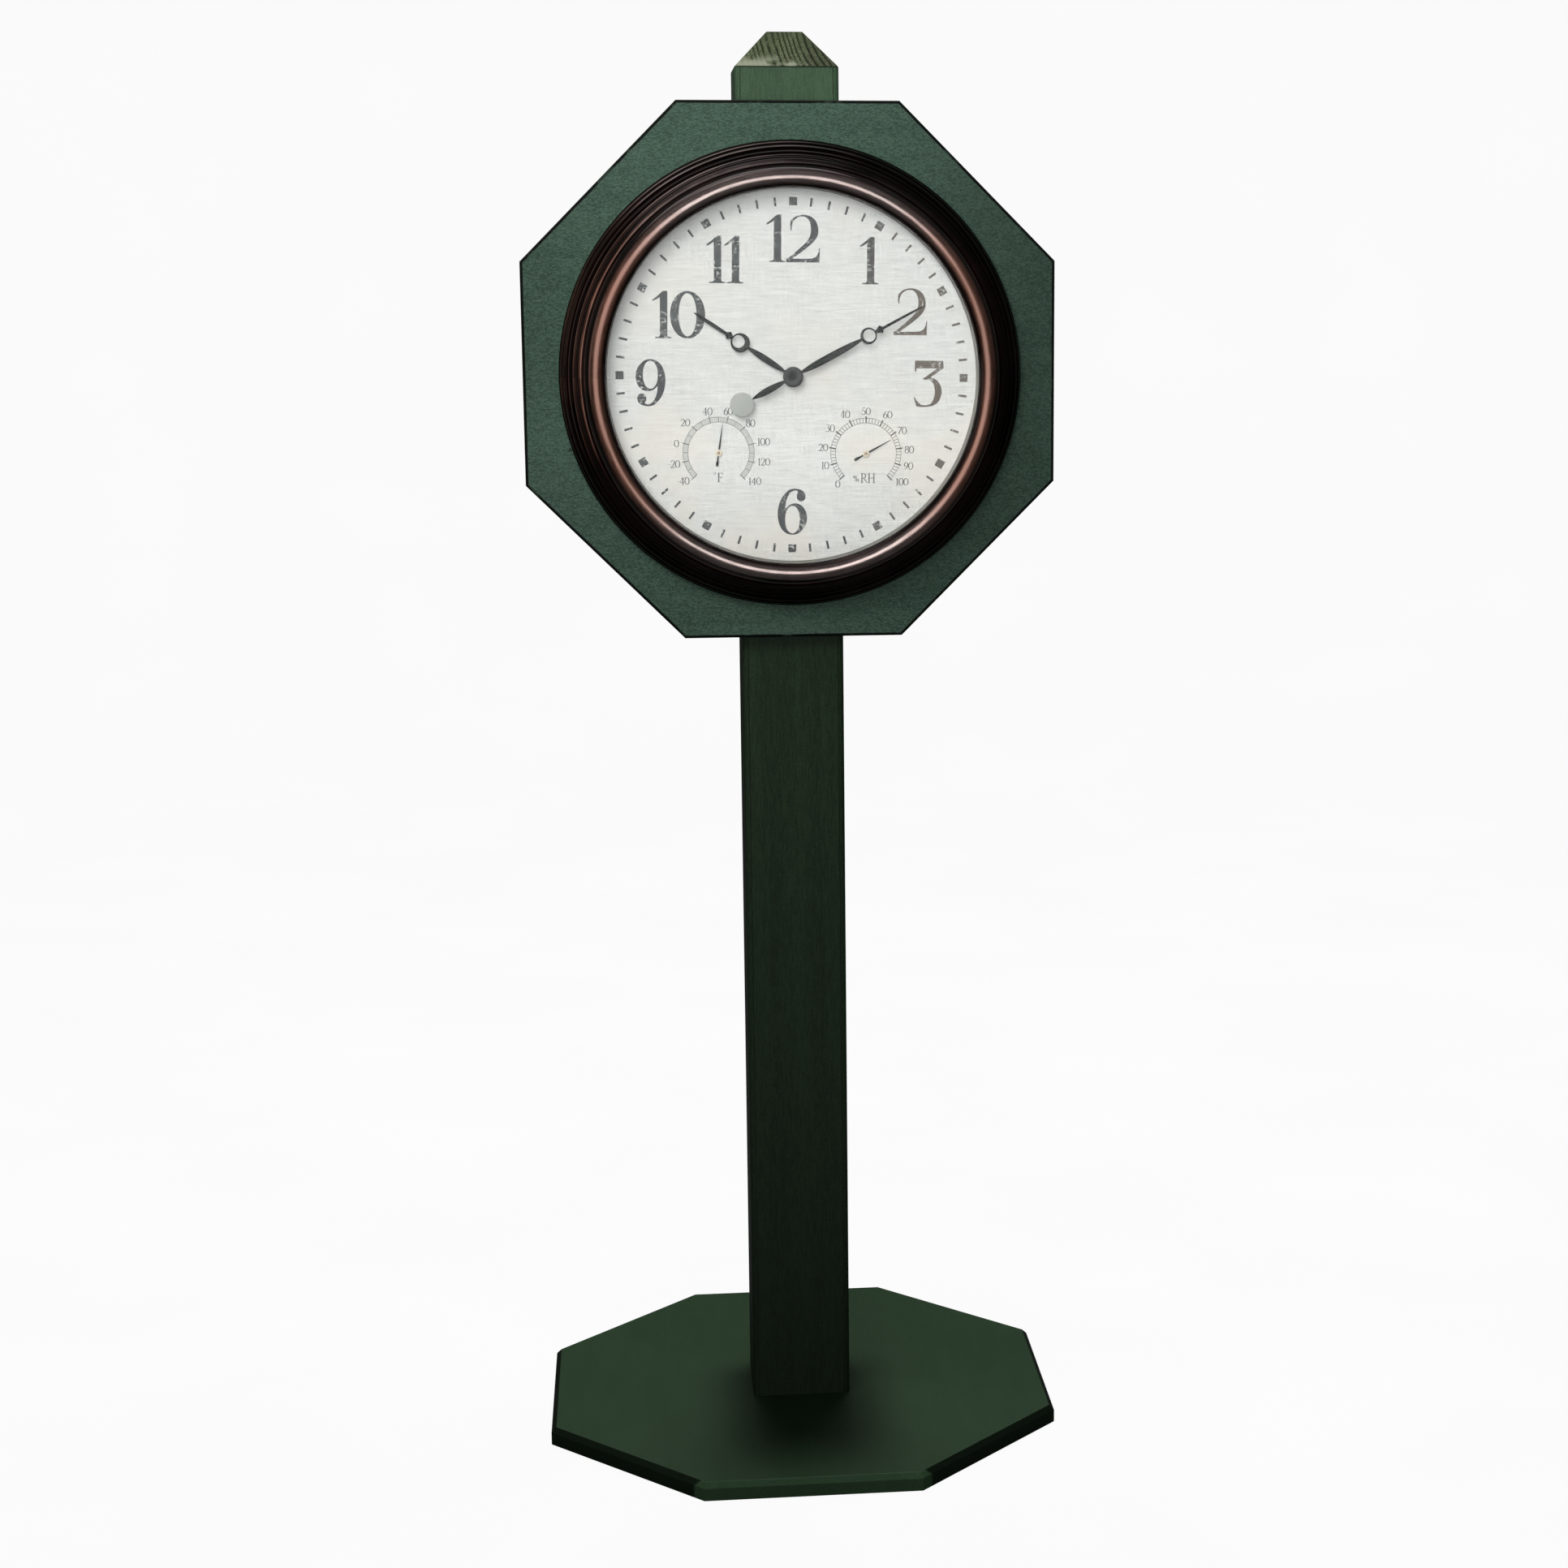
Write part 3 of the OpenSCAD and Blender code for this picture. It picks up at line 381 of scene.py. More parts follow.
def post_timber():
    mat = Mat("green_post")
    x, y, z = mat.xyz()
    long = mat.noise(stretch=(70, 70, 2.2), detail=6, rough=0.62, dist=0.35)
    short = mat.noise(stretch=(620, 620, 90), detail=3, rough=0.65)
    tiny = mat.noise(stretch=(900, 900, 800), shift=(0.3, 0.1, 0.7), detail=2, rough=0.6)
    shade = long.ramp(NOISE, to=(-0.22, 0.22)) + (
        short.ramp((0.35, 0.65), to=(-0.28, 0.28)) + tiny.ramp((0.35, 0.65), to=(-0.30, 0.30)))
    side = mat.mix(mat.math("ADD", 0.5, shade, clamp=True), (27, 42, 26), (42, 60, 41))
    # painted shade and light: darker low down and on the left side face, paler up behind and above
    # the clock, where more light falls
    side = mat.scaled(side, z.ramp((0.02, 0.74), to=(0.30, 0.83), smooth=False)
                      * x.ramp((-0.0444, -0.0436), to=(0.72, 1.0))
                      * z.ramp((0.75, 1.19), to=(1.0, 2.7)))
    above_board = z.ramp((HEAD_HIGH.z - 0.004, HEAD_HIGH.z + 0.004), to=(0.0, 0.30))
    side = mat.mix(above_board, side, (66, 86, 71))
    # wavering upright grooves near the arrises, darker than the face around them
    nearer = abs(x).min(abs(y))
    waver = (mat.noise(stretch=(1, 1, 26), detail=2) - 0.5) * 0.0010
    groove = abs(nearer + waver - 0.0396).ramp((0.0002, 0.0006), to=FALL)
    side = mat.mix(groove * 0.65, side, (6, 11, 6))
    # sawn end grain on the cap: growth rings about a pith outside the post
    ring_spacing = 225.0         # rings per metre
    ring_strength = 1.0
    pith_x = x - 0.089
    pith_y = y + 0.004
    radius = (pith_x * pith_x + pith_y * pith_y).sqrt()
    radius = radius + (mat.noise(26.0, detail=3) - 0.5) * 0.0028
    ring = ((radius + (radius * 210.0).sine() * 0.0012) * ring_spacing).fract()
    line = ring.ramp((0.38, 0.78)) * ring.ramp((0.90, 1.0), to=FALL)
    fine = mat.noise(stretch=(900, 900, 900), detail=4, rough=0.7)
    broken = mat.noise(150.0, detail=3).ramp((0.30, 0.50), to=(0.35, 1.0))
    end = mat.mix(fine.ramp((0.36, 0.64)), (50, 60, 38), (112, 120, 92))
    end = mat.mix(line * broken * ring_strength, end, (22, 31, 14))
    blot = mat.noise(42.0, shift=(0.2, 0.6, 0.1), detail=2).ramp((0.36, 0.66))
    end = mat.mix(blot * 0.35, end, (54, 66, 40))
    # the stain has worn off along the foot of each slope, most towards the left
    worn = (z - CAP_FOOT).ramp((0.002, 0.012), to=FALL) * (
        mat.noise(90.0, detail=3) + x * -6.0).ramp((0.40, 0.66))
    end = mat.mix(worn * 0.75, end, (158, 164, 142))
    # painted shade: the cap's slopes on the right are darker, turned away from the light
    end = mat.scaled(end, x.ramp((0.010, 0.022), to=(1.0, 0.74)))
    cap = (z - CAP_FOOT).ramp((0.0001, 0.0006))
    rim = abs(z - (CAP_FOOT + 0.0002)).ramp((0.0004, 0.0010), to=FALL) * 0.85
    tint = mat.mix(cap, side, end)
    tint = mat.mix(rim, tint, (18, 24, 14))
    side_relief = long * 0.5 + (short * 0.5 + tiny * 0.3) - groove * 0.8
    end_relief = fine * 0.6 - line * 0.9
    relief = mat.blend(cap, side_relief, end_relief)
    return mat.set(Base_Color=tint, Roughness=mat.blend(cap, 0.55, 0.80),
                   Specular_IOR_Level=0.12, Normal=mat.bump(relief, strength=0.30, dist=0.0007))


POST_TIMBER = post_timber()

# ------------------------------------------------------------------ materials: the clock
# painted highlight lines along the steps of the clock frame, laid as copper on the upper left where
# the light falls: radius and width in metres, strength
STEP_HIGHLIGHT_LINES = (
    (0.1714, 0.0005, 0.40), (0.1778, 0.0003, 0.15), (0.1797, 0.0005, 0.98), (0.1832, 0.0003, 0.12),
    (0.1848, 0.0003, 0.50), (0.1925, 0.0004, 0.40), (0.1959, 0.0004, 0.45))


def bronze_material():
    mat = Mat("antique_bronze")
    right, up, radius, y = mat.about_axis()
    angle = up.arctan2(right)
    height = BOARD_Y - y
    around = angle * 0.17

    def streaks(along, across, **noise):
        """noise drawn out around the frame"""
        at = mat.vector(around * along, radius * across, height * across)
        return mat.noise(at=at, **noise)

    streak = streaks(14.0, 150.0, detail=4, rough=0.65)
    fine = streaks(60.0, 420.0, detail=3, rough=0.7, dist=0.4)
    patchy = streaks(24.0, 60.0, detail=3)
    blot = mat.noise(9.0, detail=3)
    base = mat.mix(streak.ramp(NOISE), (17, 8, 7), (29, 15, 12))
    base = mat.mix(mat.noise(30.0, detail=2).ramp((0.4, 0.7), to=(0, 0.4)), base, (54, 30, 24))
    # painted shade: the steps are darkened, most of all on the frame's upper half, against the
    # overhead light
    steps = radius.ramp((0.1735, 0.1750))
    upper_shade = (up / radius.max(0.01)).ramp((0.2, 0.8), to=(0.5, 0.3))
    base = mat.scaled(base, mat.blend(steps, 1.0, upper_shade))
    # copper shows through along the crown; the copper lines on the steps are painted highlights,
    # strongest on the upper left where the light falls
    crown = (abs(radius - 0.1663).ramp((0.0037, 0.0066), to=FALL) * height.ramp((0.043, 0.0458))
             * (streak * 0.45 + fine * 0.55).ramp((0.32, 0.64), to=(0.50, 1.0))
             * blot.ramp((0.25, 0.7), to=(0.75, 1.0)))
    lit = ((up * 0.57 - right * 0.82) / radius.max(0.01)).ramp((0.35, 1.0), to=(0.08, 0.80))
    rub_and_highlight = crown
    for centre, width, strength in STEP_HIGHLIGHT_LINES:
        line = abs(radius - centre).ramp((width * 0.5, width * 3.2), to=(strength, 0)) * lit
        rub_and_highlight = rub_and_highlight.max(line * patchy.ramp((0.35, 0.6), to=(0.45, 1.0)))
    side = abs(right / radius.max(0.01))
    copper = mat.mix(side.ramp((0.45, 0.90)), (168, 151, 147), (146, 104, 89))
    relief = streak * 0.3 + fine * rub_and_highlight * 0.4
    return mat.set(
        Base_Color=mat.mix(rub_and_highlight * 0.90, base, copper),
        Metallic=mat.blend(rub_and_highlight, 0.92, 0.95),
        Roughness=mat.blend(rub_and_highlight, 0.19 + fine.ramp(NOISE, to=(-0.03, 0.06)),
                            side.ramp((0.45, 0.90), to=(0.22, 0.43))),
        Specular_IOR_Level=mat.blend(steps, 0.4, 0.12),
        Coat_Weight=mat.blend(steps, 0.30, 0.05), Coat_Roughness=0.06,
        Normal=mat.bump(relief, strength=0.05, dist=0.0004))


def dial_material():
    mat = Mat("linen_dial")
    x, y, z = mat.xyz()
    weft = mat.noise(stretch=(60, 1, 1000), detail=3, rough=0.6)
    warp = mat.noise(stretch=(1000, 1, 60), shift=(0.3, 0, 0.2), detail=3, rough=0.6)
    weft_slub = mat.noise(stretch=(26, 1, 460), shift=(1, 0, 2), detail=2)
    warp_slub = mat.noise(stretch=(460, 1, 26), shift=(2, 0, 1), detail=2)
    fine = mat.noise(stretch=(800, 1, 950), shift=(0.7, 0, 0.4), detail=3, rough=0.7)
    weave = (weft * 0.50 + warp * 0.30) + (
        fine * 0.90 + (weft_slub * 0.28 + warp_slub * 0.14))
    tint = mat.mix(weave.ramp((0.84, 1.28), smooth=False), (203, 202, 198), (246, 246, 242))
    # warm clouds, most of them low down, and cool ones high up
    warm = mat.noise(13.0, detail=3).ramp((0.46, 0.68))
    cool = mat.noise(9.0, shift=(4, 0, 7), detail=3).ramp((0.48, 0.68))
    low = z.ramp((AXIS_Z - 0.12, AXIS_Z + 0.10), to=(1.4, 0.5))
    tint = mat.mix(warm * 0.30 * low, tint, (236, 226, 213))
    high = (z.ramp((AXIS_Z - 0.04, AXIS_Z + 0.10), to=(0.10, 1.0))
            * x.ramp((AXIS_X - 0.05, AXIS_X + 0.12), to=(1.0, 0.3)))
    tint = mat.mix(cool * 0.30 * high, tint, (222, 231, 240))
    thread = weft.ramp((0.66, 0.74)) * weft_slub.ramp((0.50, 0.62))
    tint = mat.mix(thread * 0.35, tint, (186, 184, 174))
    # painted light: a little paler towards the bottom and the right, where the lamps light it less
    paler = (z.ramp((AXIS_Z - DIAL_RADIUS, AXIS_Z + DIAL_RADIUS), to=(1.10, 0.95), smooth=False)
             * x.ramp((AXIS_X - DIAL_RADIUS, AXIS_X + DIAL_RADIUS), to=(0.93, 1.01), smooth=False))
    return mat.set(Base_Color=mat.scaled(tint, paler), Roughness=0.62, Specular_IOR_Level=0.3,
                   Normal=mat.bump(weave, strength=0.10, dist=0.0004))


def ink_material(name, dark, brown, worn):
    """worn is how much of the ink has flaked off"""
    mat = Mat(name)
    patches = mat.noise(11.0, shift=(0.9, 0.2, 0.35), detail=2)
    # the ink on the right of the dial has browned
    aged = (mat.xyz()[0].ramp((AXIS_X + 0.055, AXIS_X + 0.095))
            * patches.ramp((0.30, 0.50), to=(0.35, 1.0)))
    tint = mat.mix(aged, dark, brown)
    fine = mat.noise(420.0, detail=3)
    lighter = tuple(min(255, v + 40) for v in dark)
    tint = mat.mix(fine.ramp((0.35, 0.65), to=(0, 0.22)), tint, lighter)
    fleck = mat.noise(stretch=(330, 1, 380), detail=4, rough=0.7).ramp((0.555, 0.590))
    scratch = mat.noise(stretch=(95, 1, 1100), turn=(0, 0.25, 0), detail=2).ramp((0.645, 0.68))
    where = mat.noise(60.0, detail=2).ramp((0.40, 0.62))
    flake = mat.math("MULTIPLY", fleck.max(scratch), where * worn, clamp=True)
    tint = mat.mix(flake, tint, (214, 214, 208))
    return mat.set(Base_Color=tint, Roughness=0.6, Specular_IOR_Level=0.25,
                   Normal=mat.bump(fine, strength=0.08, dist=0.0002))


BRONZE = bronze_material()
LINEN = dial_material()
NUMERAL_INK = ink_material("dial_ink", dark=(62, 65, 66), brown=(104, 92, 80), worn=0.9)
FINE_INK = ink_material("fine_dial_ink", dark=(92, 91, 88), brown=(108, 98, 88), worn=0.25)
TICK_INK = ink_material("tick_ink", dark=(72, 74, 74), brown=(104, 96, 86), worn=0.95)
BAND_INK = ink_material("gauge_band_ink", dark=(206, 206, 200), brown=(204, 202, 196), worn=0.2)


def plain(name, tint, rough, bump, scale, vary, metal=0.0, spec=0.5, scuffs_and_edge_shading=None, coat=0.0,
          shade=None):
    """mottled plastic, paint or metal; scale and vary are the mottling's, wear is scuff colour"""
    mat = Mat(name)
    fine = mat.noise(scale, detail=4, rough=0.65)
    broad = mat.noise(scale * 0.09, detail=3)
    mottle = (fine.ramp(NOISE, to=(1 - vary * 0.6, 1 + vary * 0.6))
              + broad.ramp(NOISE, to=(-vary * 0.5, vary * 0.5)))
    tint = mat.scaled(tint, mottle)
    if scuffs_and_edge_shading:
        scuff = mat.noise(stretch=(scale * 0.15, scale * 0.15, scale * 1.6),
                          turn=(0.4, 0.7, 0.2), detail=3).ramp((0.62, 0.70))
        tint = mat.mix(scuff * 0.4, tint, scuffs_and_edge_shading)
    if shade:
        tint = mat.scaled(tint, shade(mat))
    return mat.set(Base_Color=tint, Roughness=rough + broad.ramp(NOISE, to=(-0.05, 0.06)),
                   Metallic=metal, Specular_IOR_Level=spec, Coat_Weight=coat,
                   Normal=mat.bump(fine, strength=bump, dist=0.0003))


def brushed(name, tint, rough):
    """metal with fine level brush marks"""
    mat = Mat(name)
    marks = mat.noise(stretch=(40, 40, 1400), detail=4, rough=0.6)
    return mat.set(Base_Color=mat.scaled(tint, marks.ramp(NOISE, to=(0.82, 1.12))), Metallic=1.0,
                   Roughness=rough + marks.ramp(NOISE, to=(-0.06, 0.08)),
                   Normal=mat.bump(marks, strength=0.12, dist=0.0003))


def spacer_shade(mat):
    """painted shadow of the bead: darkens the pale ring close under the bead, most of all above and
    to the left
    """
    right, up, radius, y = mat.about_axis()
    side = ((up * 0.75 - right * 0.66) / radius.max(0.01)).ramp((-0.55, 0.55), to=(0.80, 0.16))
    return mat.blend(radius.ramp((0.1545, 0.1560)), 1.0, side)


HAND_BLACK = plain("black_gloss_hand", (13, 14, 14), rough=0.17, spec=0.24, bump=0.03,
                   scale=700.0, vary=0.12, coat=0.04)
WEIGHT_GREY = plain("pale_counterweight", (174, 177, 171), rough=0.55, spec=0.3, bump=0.05,
                    scale=500.0, vary=0.06)
NUT_METAL = plain("dark_hand_nut", (40, 41, 40), rough=0.22, metal=0.9, bump=0.04,
                  scale=500.0, vary=0.12)
HUB_CREAM = plain("cream_needle_hub", (226, 212, 190), rough=0.30, bump=0.04,
                  scale=500.0, vary=0.08, coat=0.3)
PIVOT_BRASS = brushed("brass_pivot", (190, 165, 120), rough=0.30)
SPACER = plain("pale_spacer", (150, 147, 138), rough=0.36, metal=0.55, bump=0.05, scale=160.0,
               vary=0.12, scuffs_and_edge_shading=(104, 100, 90), shade=spacer_shade)
STEEL = brushed("zinc_steel", (178, 180, 182), rough=0.36)
BRASS = brushed("brass_wheel", (196, 160, 86), rough=0.30)
BLACK = plain("black_moulded_plastic", (26, 26, 27), rough=0.48, spec=0.45, bump=0.20,
              scale=420.0, vary=0.16, scuffs_and_edge_shading=(60, 60, 60))
WHITE = plain("white_moulded_plastic", (222, 221, 214), rough=0.42, spec=0.45, bump=0.10,
              scale=380.0, vary=0.06)
RUBBER = plain("black_rubber", (20, 20, 20), rough=0.75, spec=0.3, bump=0.25, scale=500.0,
               vary=0.15)
IRON = brushed("stamped_iron", (130, 131, 134), rough=0.42)
MAGNET = plain("sintered_magnet", (62, 62, 66), rough=0.45, metal=0.8, bump=0.3, scale=900.0,
               vary=0.2)
CIRCUIT = plain("circuit_board_mask", (22, 92, 50), rough=0.35, bump=0.15, scale=520.0,
                vary=0.22, scuffs_and_edge_shading=(60, 140, 84))
CRYSTAL_CAN = brushed("crystal_can", (196, 197, 200), rough=0.22)
PAPER = plain("paper_strip", (205, 190, 158), rough=0.6, metal=0.1, spec=0.3, bump=0.15,
              scale=260.0, vary=0.12)


def wound_copper():
    wire = 0.00022               # thickness of the wire in metres
    mat = Mat("wound_copper_wire")
    x, y, z = mat.xyz()
    turns = (z * (2 * math.pi / wire)).sine()
    stain = mat.noise(320.0, detail=3)
    tint = mat.mix((turns + stain.ramp(NOISE, to=(-0.5, 0.5))).ramp((-1, 1)),
                   (120, 52, 22), (196, 108, 58))
    return mat.set(Base_Color=tint, Metallic=0.85, Roughness=0.32, Coat_Weight=0.4,
                   Normal=mat.bump(turns, strength=0.35, dist=0.0001))


def battery_material():
    """gold at the left end, black along the body, bare metal at the right tip"""
    mat = Mat("battery_wrap")
    x, y, z = mat.xyz()
    low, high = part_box("battery")
    along = x.ramp((low.x, high.x), smooth=False)
    scuff = mat.noise(260.0, detail=3)
    tint = mat.mix(along.ramp((0.27, 0.275)), (186, 132, 52), (24, 24, 26))
    tint = mat.mix(along.ramp((0.965, 0.967)), tint, (196, 197, 200))
    tint = mat.mix(scuff.ramp(NOISE, to=(0, 0.16)), tint, (120, 112, 98))
    return mat.set(Base_Color=tint, Metallic=0.35, Roughness=0.30, Coat_Weight=0.3,
                   Normal=mat.bump(scuff, strength=0.05, dist=0.0002))


def glass_material():
    """thin clear pane with a faint, slightly smeared reflection"""
    mat = Mat("clear_pane")
    fresnel = Field(mat, mat.node("ShaderNodeFresnel", IOR=1.45).outputs[0])
    smear = mat.noise(14.0, stretch=(1, 1, 0.4), detail=4).ramp(NOISE, to=(0.75, 1.15))
    clear = mat.node("ShaderNodeBsdfTransparent", Color=mat.mix(
        mat.noise(8.0, detail=2).ramp(NOISE), (0.985, 0.99, 0.99, 1), (0.995, 1.0, 1.0, 1)))
    gloss = mat.node("ShaderNodeBsdfGlossy", Color=(1, 1, 1, 1), Roughness=mat.noise(
        22.0, detail=3).ramp(NOISE, to=(0.02, 0.06)))
    mat.shade_with(mat.mix_shaders(fresnel * 0.25 * smear, clear.outputs[0], gloss.outputs[0]))
    return mat


COPPER = wound_copper()
BATTERY = battery_material()
GLASS = glass_material()

# ------------------------------------------------------------------ mesh helpers
LINK = bpy.context.scene.collection.objects.link


def finish_mesh(name, mesh, mat, body, slot, replaces=None, smooth=None):
    """makes the object, links it, hangs it under its body and hides the node it replaces; smooth is
    the angle above which edges stay sharp
    """
    bm = bmesh.new()
    bm.from_mesh(mesh)
    bmesh.ops.recalc_face_normals(bm, faces=bm.faces)
    bm.to_mesh(mesh)
    bm.free()
    if smooth is not None:
        mesh.shade_smooth()
        mesh.set_sharp_from_angle(angle=math.radians(smooth))
    piece = bpy.data.objects.new(name, mesh)
    LINK(piece)
    mesh.materials.append(mat.material)
    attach(piece, body)
    if replaces:
        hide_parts(replaces)
    return piece


def make(name, verts, faces, *args, **options):
    mesh = bpy.data.meshes.new(name)
    mesh.from_pydata(verts, [], faces)
    mesh.validate()
    mesh.update()
    return finish_mesh(name, mesh, *args, **options)


def stand_piece(node, bm, mat, slot, smooth):
    name = node + "_piece"
    mesh = bpy.data.meshes.new(name)
    bm.to_mesh(mesh)
    bm.free()
    return finish_mesh(name, mesh, mat, "stand", slot, node, smooth)


def ring_faces(count, size, start=0):
    """faces of a closed tube of count sections with size points each"""
    faces = []
    for i in range(count):
        here, there = start + i * size, start + (i + 1) % count * size
        for k in range(size):
            nxt = (k + 1) % size
            faces.append((here + k, there + k, there + nxt, here + nxt))
    return faces


def lathe(profile, segments):
    """revolves (radius, height) points in mm about the clock's axis"""
    verts = []
    for i in range(segments):
        angle = 2 * math.pi * i / segments
        verts += [clock_point(r * math.cos(angle), r * math.sin(angle), h) for r, h in profile]
    return verts, ring_faces(segments, len(profile))


def arc(x, y, radius_x, radius_y, start, end, steps):
    """points of an elliptical arc, with angles in degrees"""
    angles = [math.radians(start + (end - start) * i / steps) for i in range(steps + 1)]
    return [(x + radius_x * math.cos(a), y + radius_y * math.sin(a)) for a in angles]


def bevel_sharp(bm, width, segments, angle):
    """bevels every edge sharper than an angle in degrees"""
    bm.normal_update()
    edges = [e for e in bm.edges
             if len(e.link_faces) == 2 and e.calc_face_angle(0) > math.radians(angle)]
    bmesh.ops.bevel(bm, geom=edges, offset=width, segments=segments, profile=0.5,
                    affect="EDGES", clamp_overlap=True)


def weight_normals(piece):
    piece.modifiers.new("normals", "WEIGHTED_NORMAL").keep_sharp = True


def catmull_rom(points, steps):
    """a rounded curve through points, without the last of them"""
    p = [np.array(point, float) for point in points]
    p = [2 * p[0] - p[1]] + p + [2 * p[-1] - p[-2]]
    curve = []
    for p0, p1, p2, p3 in zip(p, p[1:], p[2:], p[3:]):
        for j in range(steps):
            t = j / steps
            curve.append(0.5 * ((2 * p1) + (-p0 + p2) * t + (2 * p0 - 5 * p1 + 4 * p2 - p3) * t * t
                                + (-p0 + 3 * p1 - 3 * p2 + p3) * t ** 3))
    return curve


# ------------------------------------------------------------------ stand
def octagon_board(half, thick, chamfer, ease):
    """eight-sided board lying flat, chamfered around its top, with eased edges"""
    bm = bmesh.new()
    rings = []
    for inset, z in ((0, 0), (0, thick - chamfer), (chamfer, thick)):
        reach = (half - inset) / math.cos(math.radians(22.5))
        angles = [math.radians(22.5 + 45 * i) for i in range(8)]
        rings.append([bm.verts.new((reach * math.cos(a), reach * math.sin(a), z))
                      for a in angles])
    for low, high in zip(rings, rings[1:]):
        for i in range(8):
            j = (i + 1) % 8
            bm.faces.new((low[i], low[j], high[j], high[i]))
    bm.faces.new(list(reversed(rings[0])))
    bm.faces.new(rings[-1])
    bevel_sharp(bm, ease, segments=3, angle=25)
    return bm


def drill_underside(piece, x, y):
    """cuts a shallow round recess into a board's underside"""
    radius, depth, overlap = 0.0049, 0.0011, 0.0001
    bm = bmesh.new()
    bmesh.ops.create_cone(bm, cap_ends=True, segments=48, radius1=radius, radius2=radius,
                          depth=depth, matrix=Matrix.Translation((x, y, depth / 2 - overlap)))
    cutter_mesh = bpy.data.meshes.new("cut")
    bm.to_mesh(cutter_mesh)
    bm.free()
    cutter = bpy.data.objects.new("cut", cutter_mesh)
    LINK(cutter)
    modifier = piece.modifiers.new("cut", "BOOLEAN")
    modifier.operation = "DIFFERENCE"
    modifier.solver = "EXACT"
    modifier.object = cutter
    graph = bpy.context.evaluated_depsgraph_get()
    drilled = bpy.data.meshes.new_from_object(piece.evaluated_get(graph), depsgraph=graph)
    piece.modifiers.clear()
    whole = piece.data
    piece.data = drilled
    bpy.data.meshes.remove(whole)
    bpy.data.objects.remove(cutter)
    bpy.data.meshes.remove(cutter_mesh)


def base_board():
    recess = 0.025               # distance of each recess from the middle, in x and in y
    bm = octagon_board(BASE_HALF, BASE_HIGH.z - BASE_LOW.z, BASE_CHAMFER, ease=0.0006)
    piece = stand_piece("base_board", bm, FOOT_TIMBER, "green_board", 40)
    for side_x in (1, -1):
        for side_y in (1, -1):
            drill_underside(piece, side_x * recess, side_y * recess)
    weight_normals(piece)


def head_board():
    """stands upright with its chamfered side towards the viewer"""
    thick = HEAD_HIGH.y - HEAD_LOW.y
    bm = octagon_board(HEAD_HALF, thick, HEAD_CHAMFER, ease=0.0004)
    upright = Matrix.Rotation(math.radians(90), 4, "X")
    place = Matrix.Translation((0, BOARD_Y + thick, HEAD_Z))
    bmesh.ops.transform(bm, matrix=place @ upright, verts=bm.verts)
    weight_normals(stand_piece("head_board", bm, HEAD_TIMBER, "green_board", 40))


def post():
    """square post with rounded corners and a cap of four slopes around a small flat"""
    middle_of_corner = POST_HALF - POST_CORNER
    outline = []
    for quarter, (side_x, side_y) in enumerate(((1, 1), (-1, 1), (-1, -1), (1, -1))):
        for i in range(9):
            angle = math.radians(90 * quarter + 90 * i / 8)
            outline.append((side_x * middle_of_corner + POST_CORNER * math.cos(angle),
                            side_y * middle_of_corner + POST_CORNER * math.sin(angle)))
    bm = bmesh.new()
    low = [bm.verts.new((x, y, POST_LOW.z)) for x, y in outline]
    top = [bm.verts.new((x, y, POST_HIGH.z)) for x, y in outline]
    for i in range(len(outline)):
        j = (i + 1) % len(outline)
        bm.faces.new((low[i], low[j], top[j], top[i]))
    bm.faces.new(list(reversed(low)))
    bm.faces.new(top)
    for k in range(4):
        angle = math.radians(90 * k)
        out = Vector((math.cos(angle), math.sin(angle), 0))
        slope = Vector((out.x * CAP_RISE, out.y * CAP_RISE, POST_HALF - CAP_FLAT)).normalized()
        cut = bmesh.ops.bisect_plane(
            bm, geom=bm.verts[:] + bm.edges[:] + bm.faces[:],
            plane_co=out * CAP_FLAT + Vector((0, 0, POST_HIGH.z)), plane_no=slope,
            clear_outer=True, dist=1e-7)
        opening = [e for e in cut["geom_cut"] if isinstance(e, bmesh.types.BMEdge)]
        bmesh.ops.contextual_create(bm, geom=opening)
    bmesh.ops.remove_doubles(bm, verts=bm.verts, dist=1e-6)
    bmesh.ops.recalc_face_normals(bm, faces=bm.faces)
    bevel_sharp(bm, 0.0005, segments=2, angle=28)
    weight_normals(stand_piece("post", bm, POST_TIMBER, "green_post", 35))


base_board()
head_board()
post()

# ------------------------------------------------------------------ the round frame
# rounded steps from the rim inwards: outer radius, its height, inner radius, its height
FRAME_STEPS = (
    (198.0, 5.2, 196.6, 7.2), (196.6, 9.4, 193.6, 12.6), (193.6, 14.4, 188.8, 19.4),
    (188.8, 20.6, 185.2, 24.2), (185.2, 25.2, 183.6, 26.8), (183.6, 27.8, 182.0, 29.4),
    (182.0, 30.4, 178.4, 33.4), (178.4, 34.4, 175.8, 36.4))
# from the bead's inner lip, down to the dial and back under the steps: radius, height
FRAME_INSIDE = [
    (157.5, 39.0), (157.7, 38.2), (164.2, 38.2), (164.2, FACE), (167.2, FACE), (167.2, 44.4),
    (169.4, 44.6), (172.0, 41.4), (172.4, 33.6), (178.0, 30.2), (181.0, 26.4), (185.6, 20.8),
    (190.4, 15.2), (194.2, 8.6), (195.2, 4.6), (195.2, 0.4)]
# radius, height
SPACER_PROFILE = [
    (157.2, FACE), (157.35, 25.6), (157.6, 25.8), (157.75, 30.4), (158.0, 30.6), (158.2, 34.8),
    (158.4, 35.0), (163.9, 35.0), (163.9, FACE)]


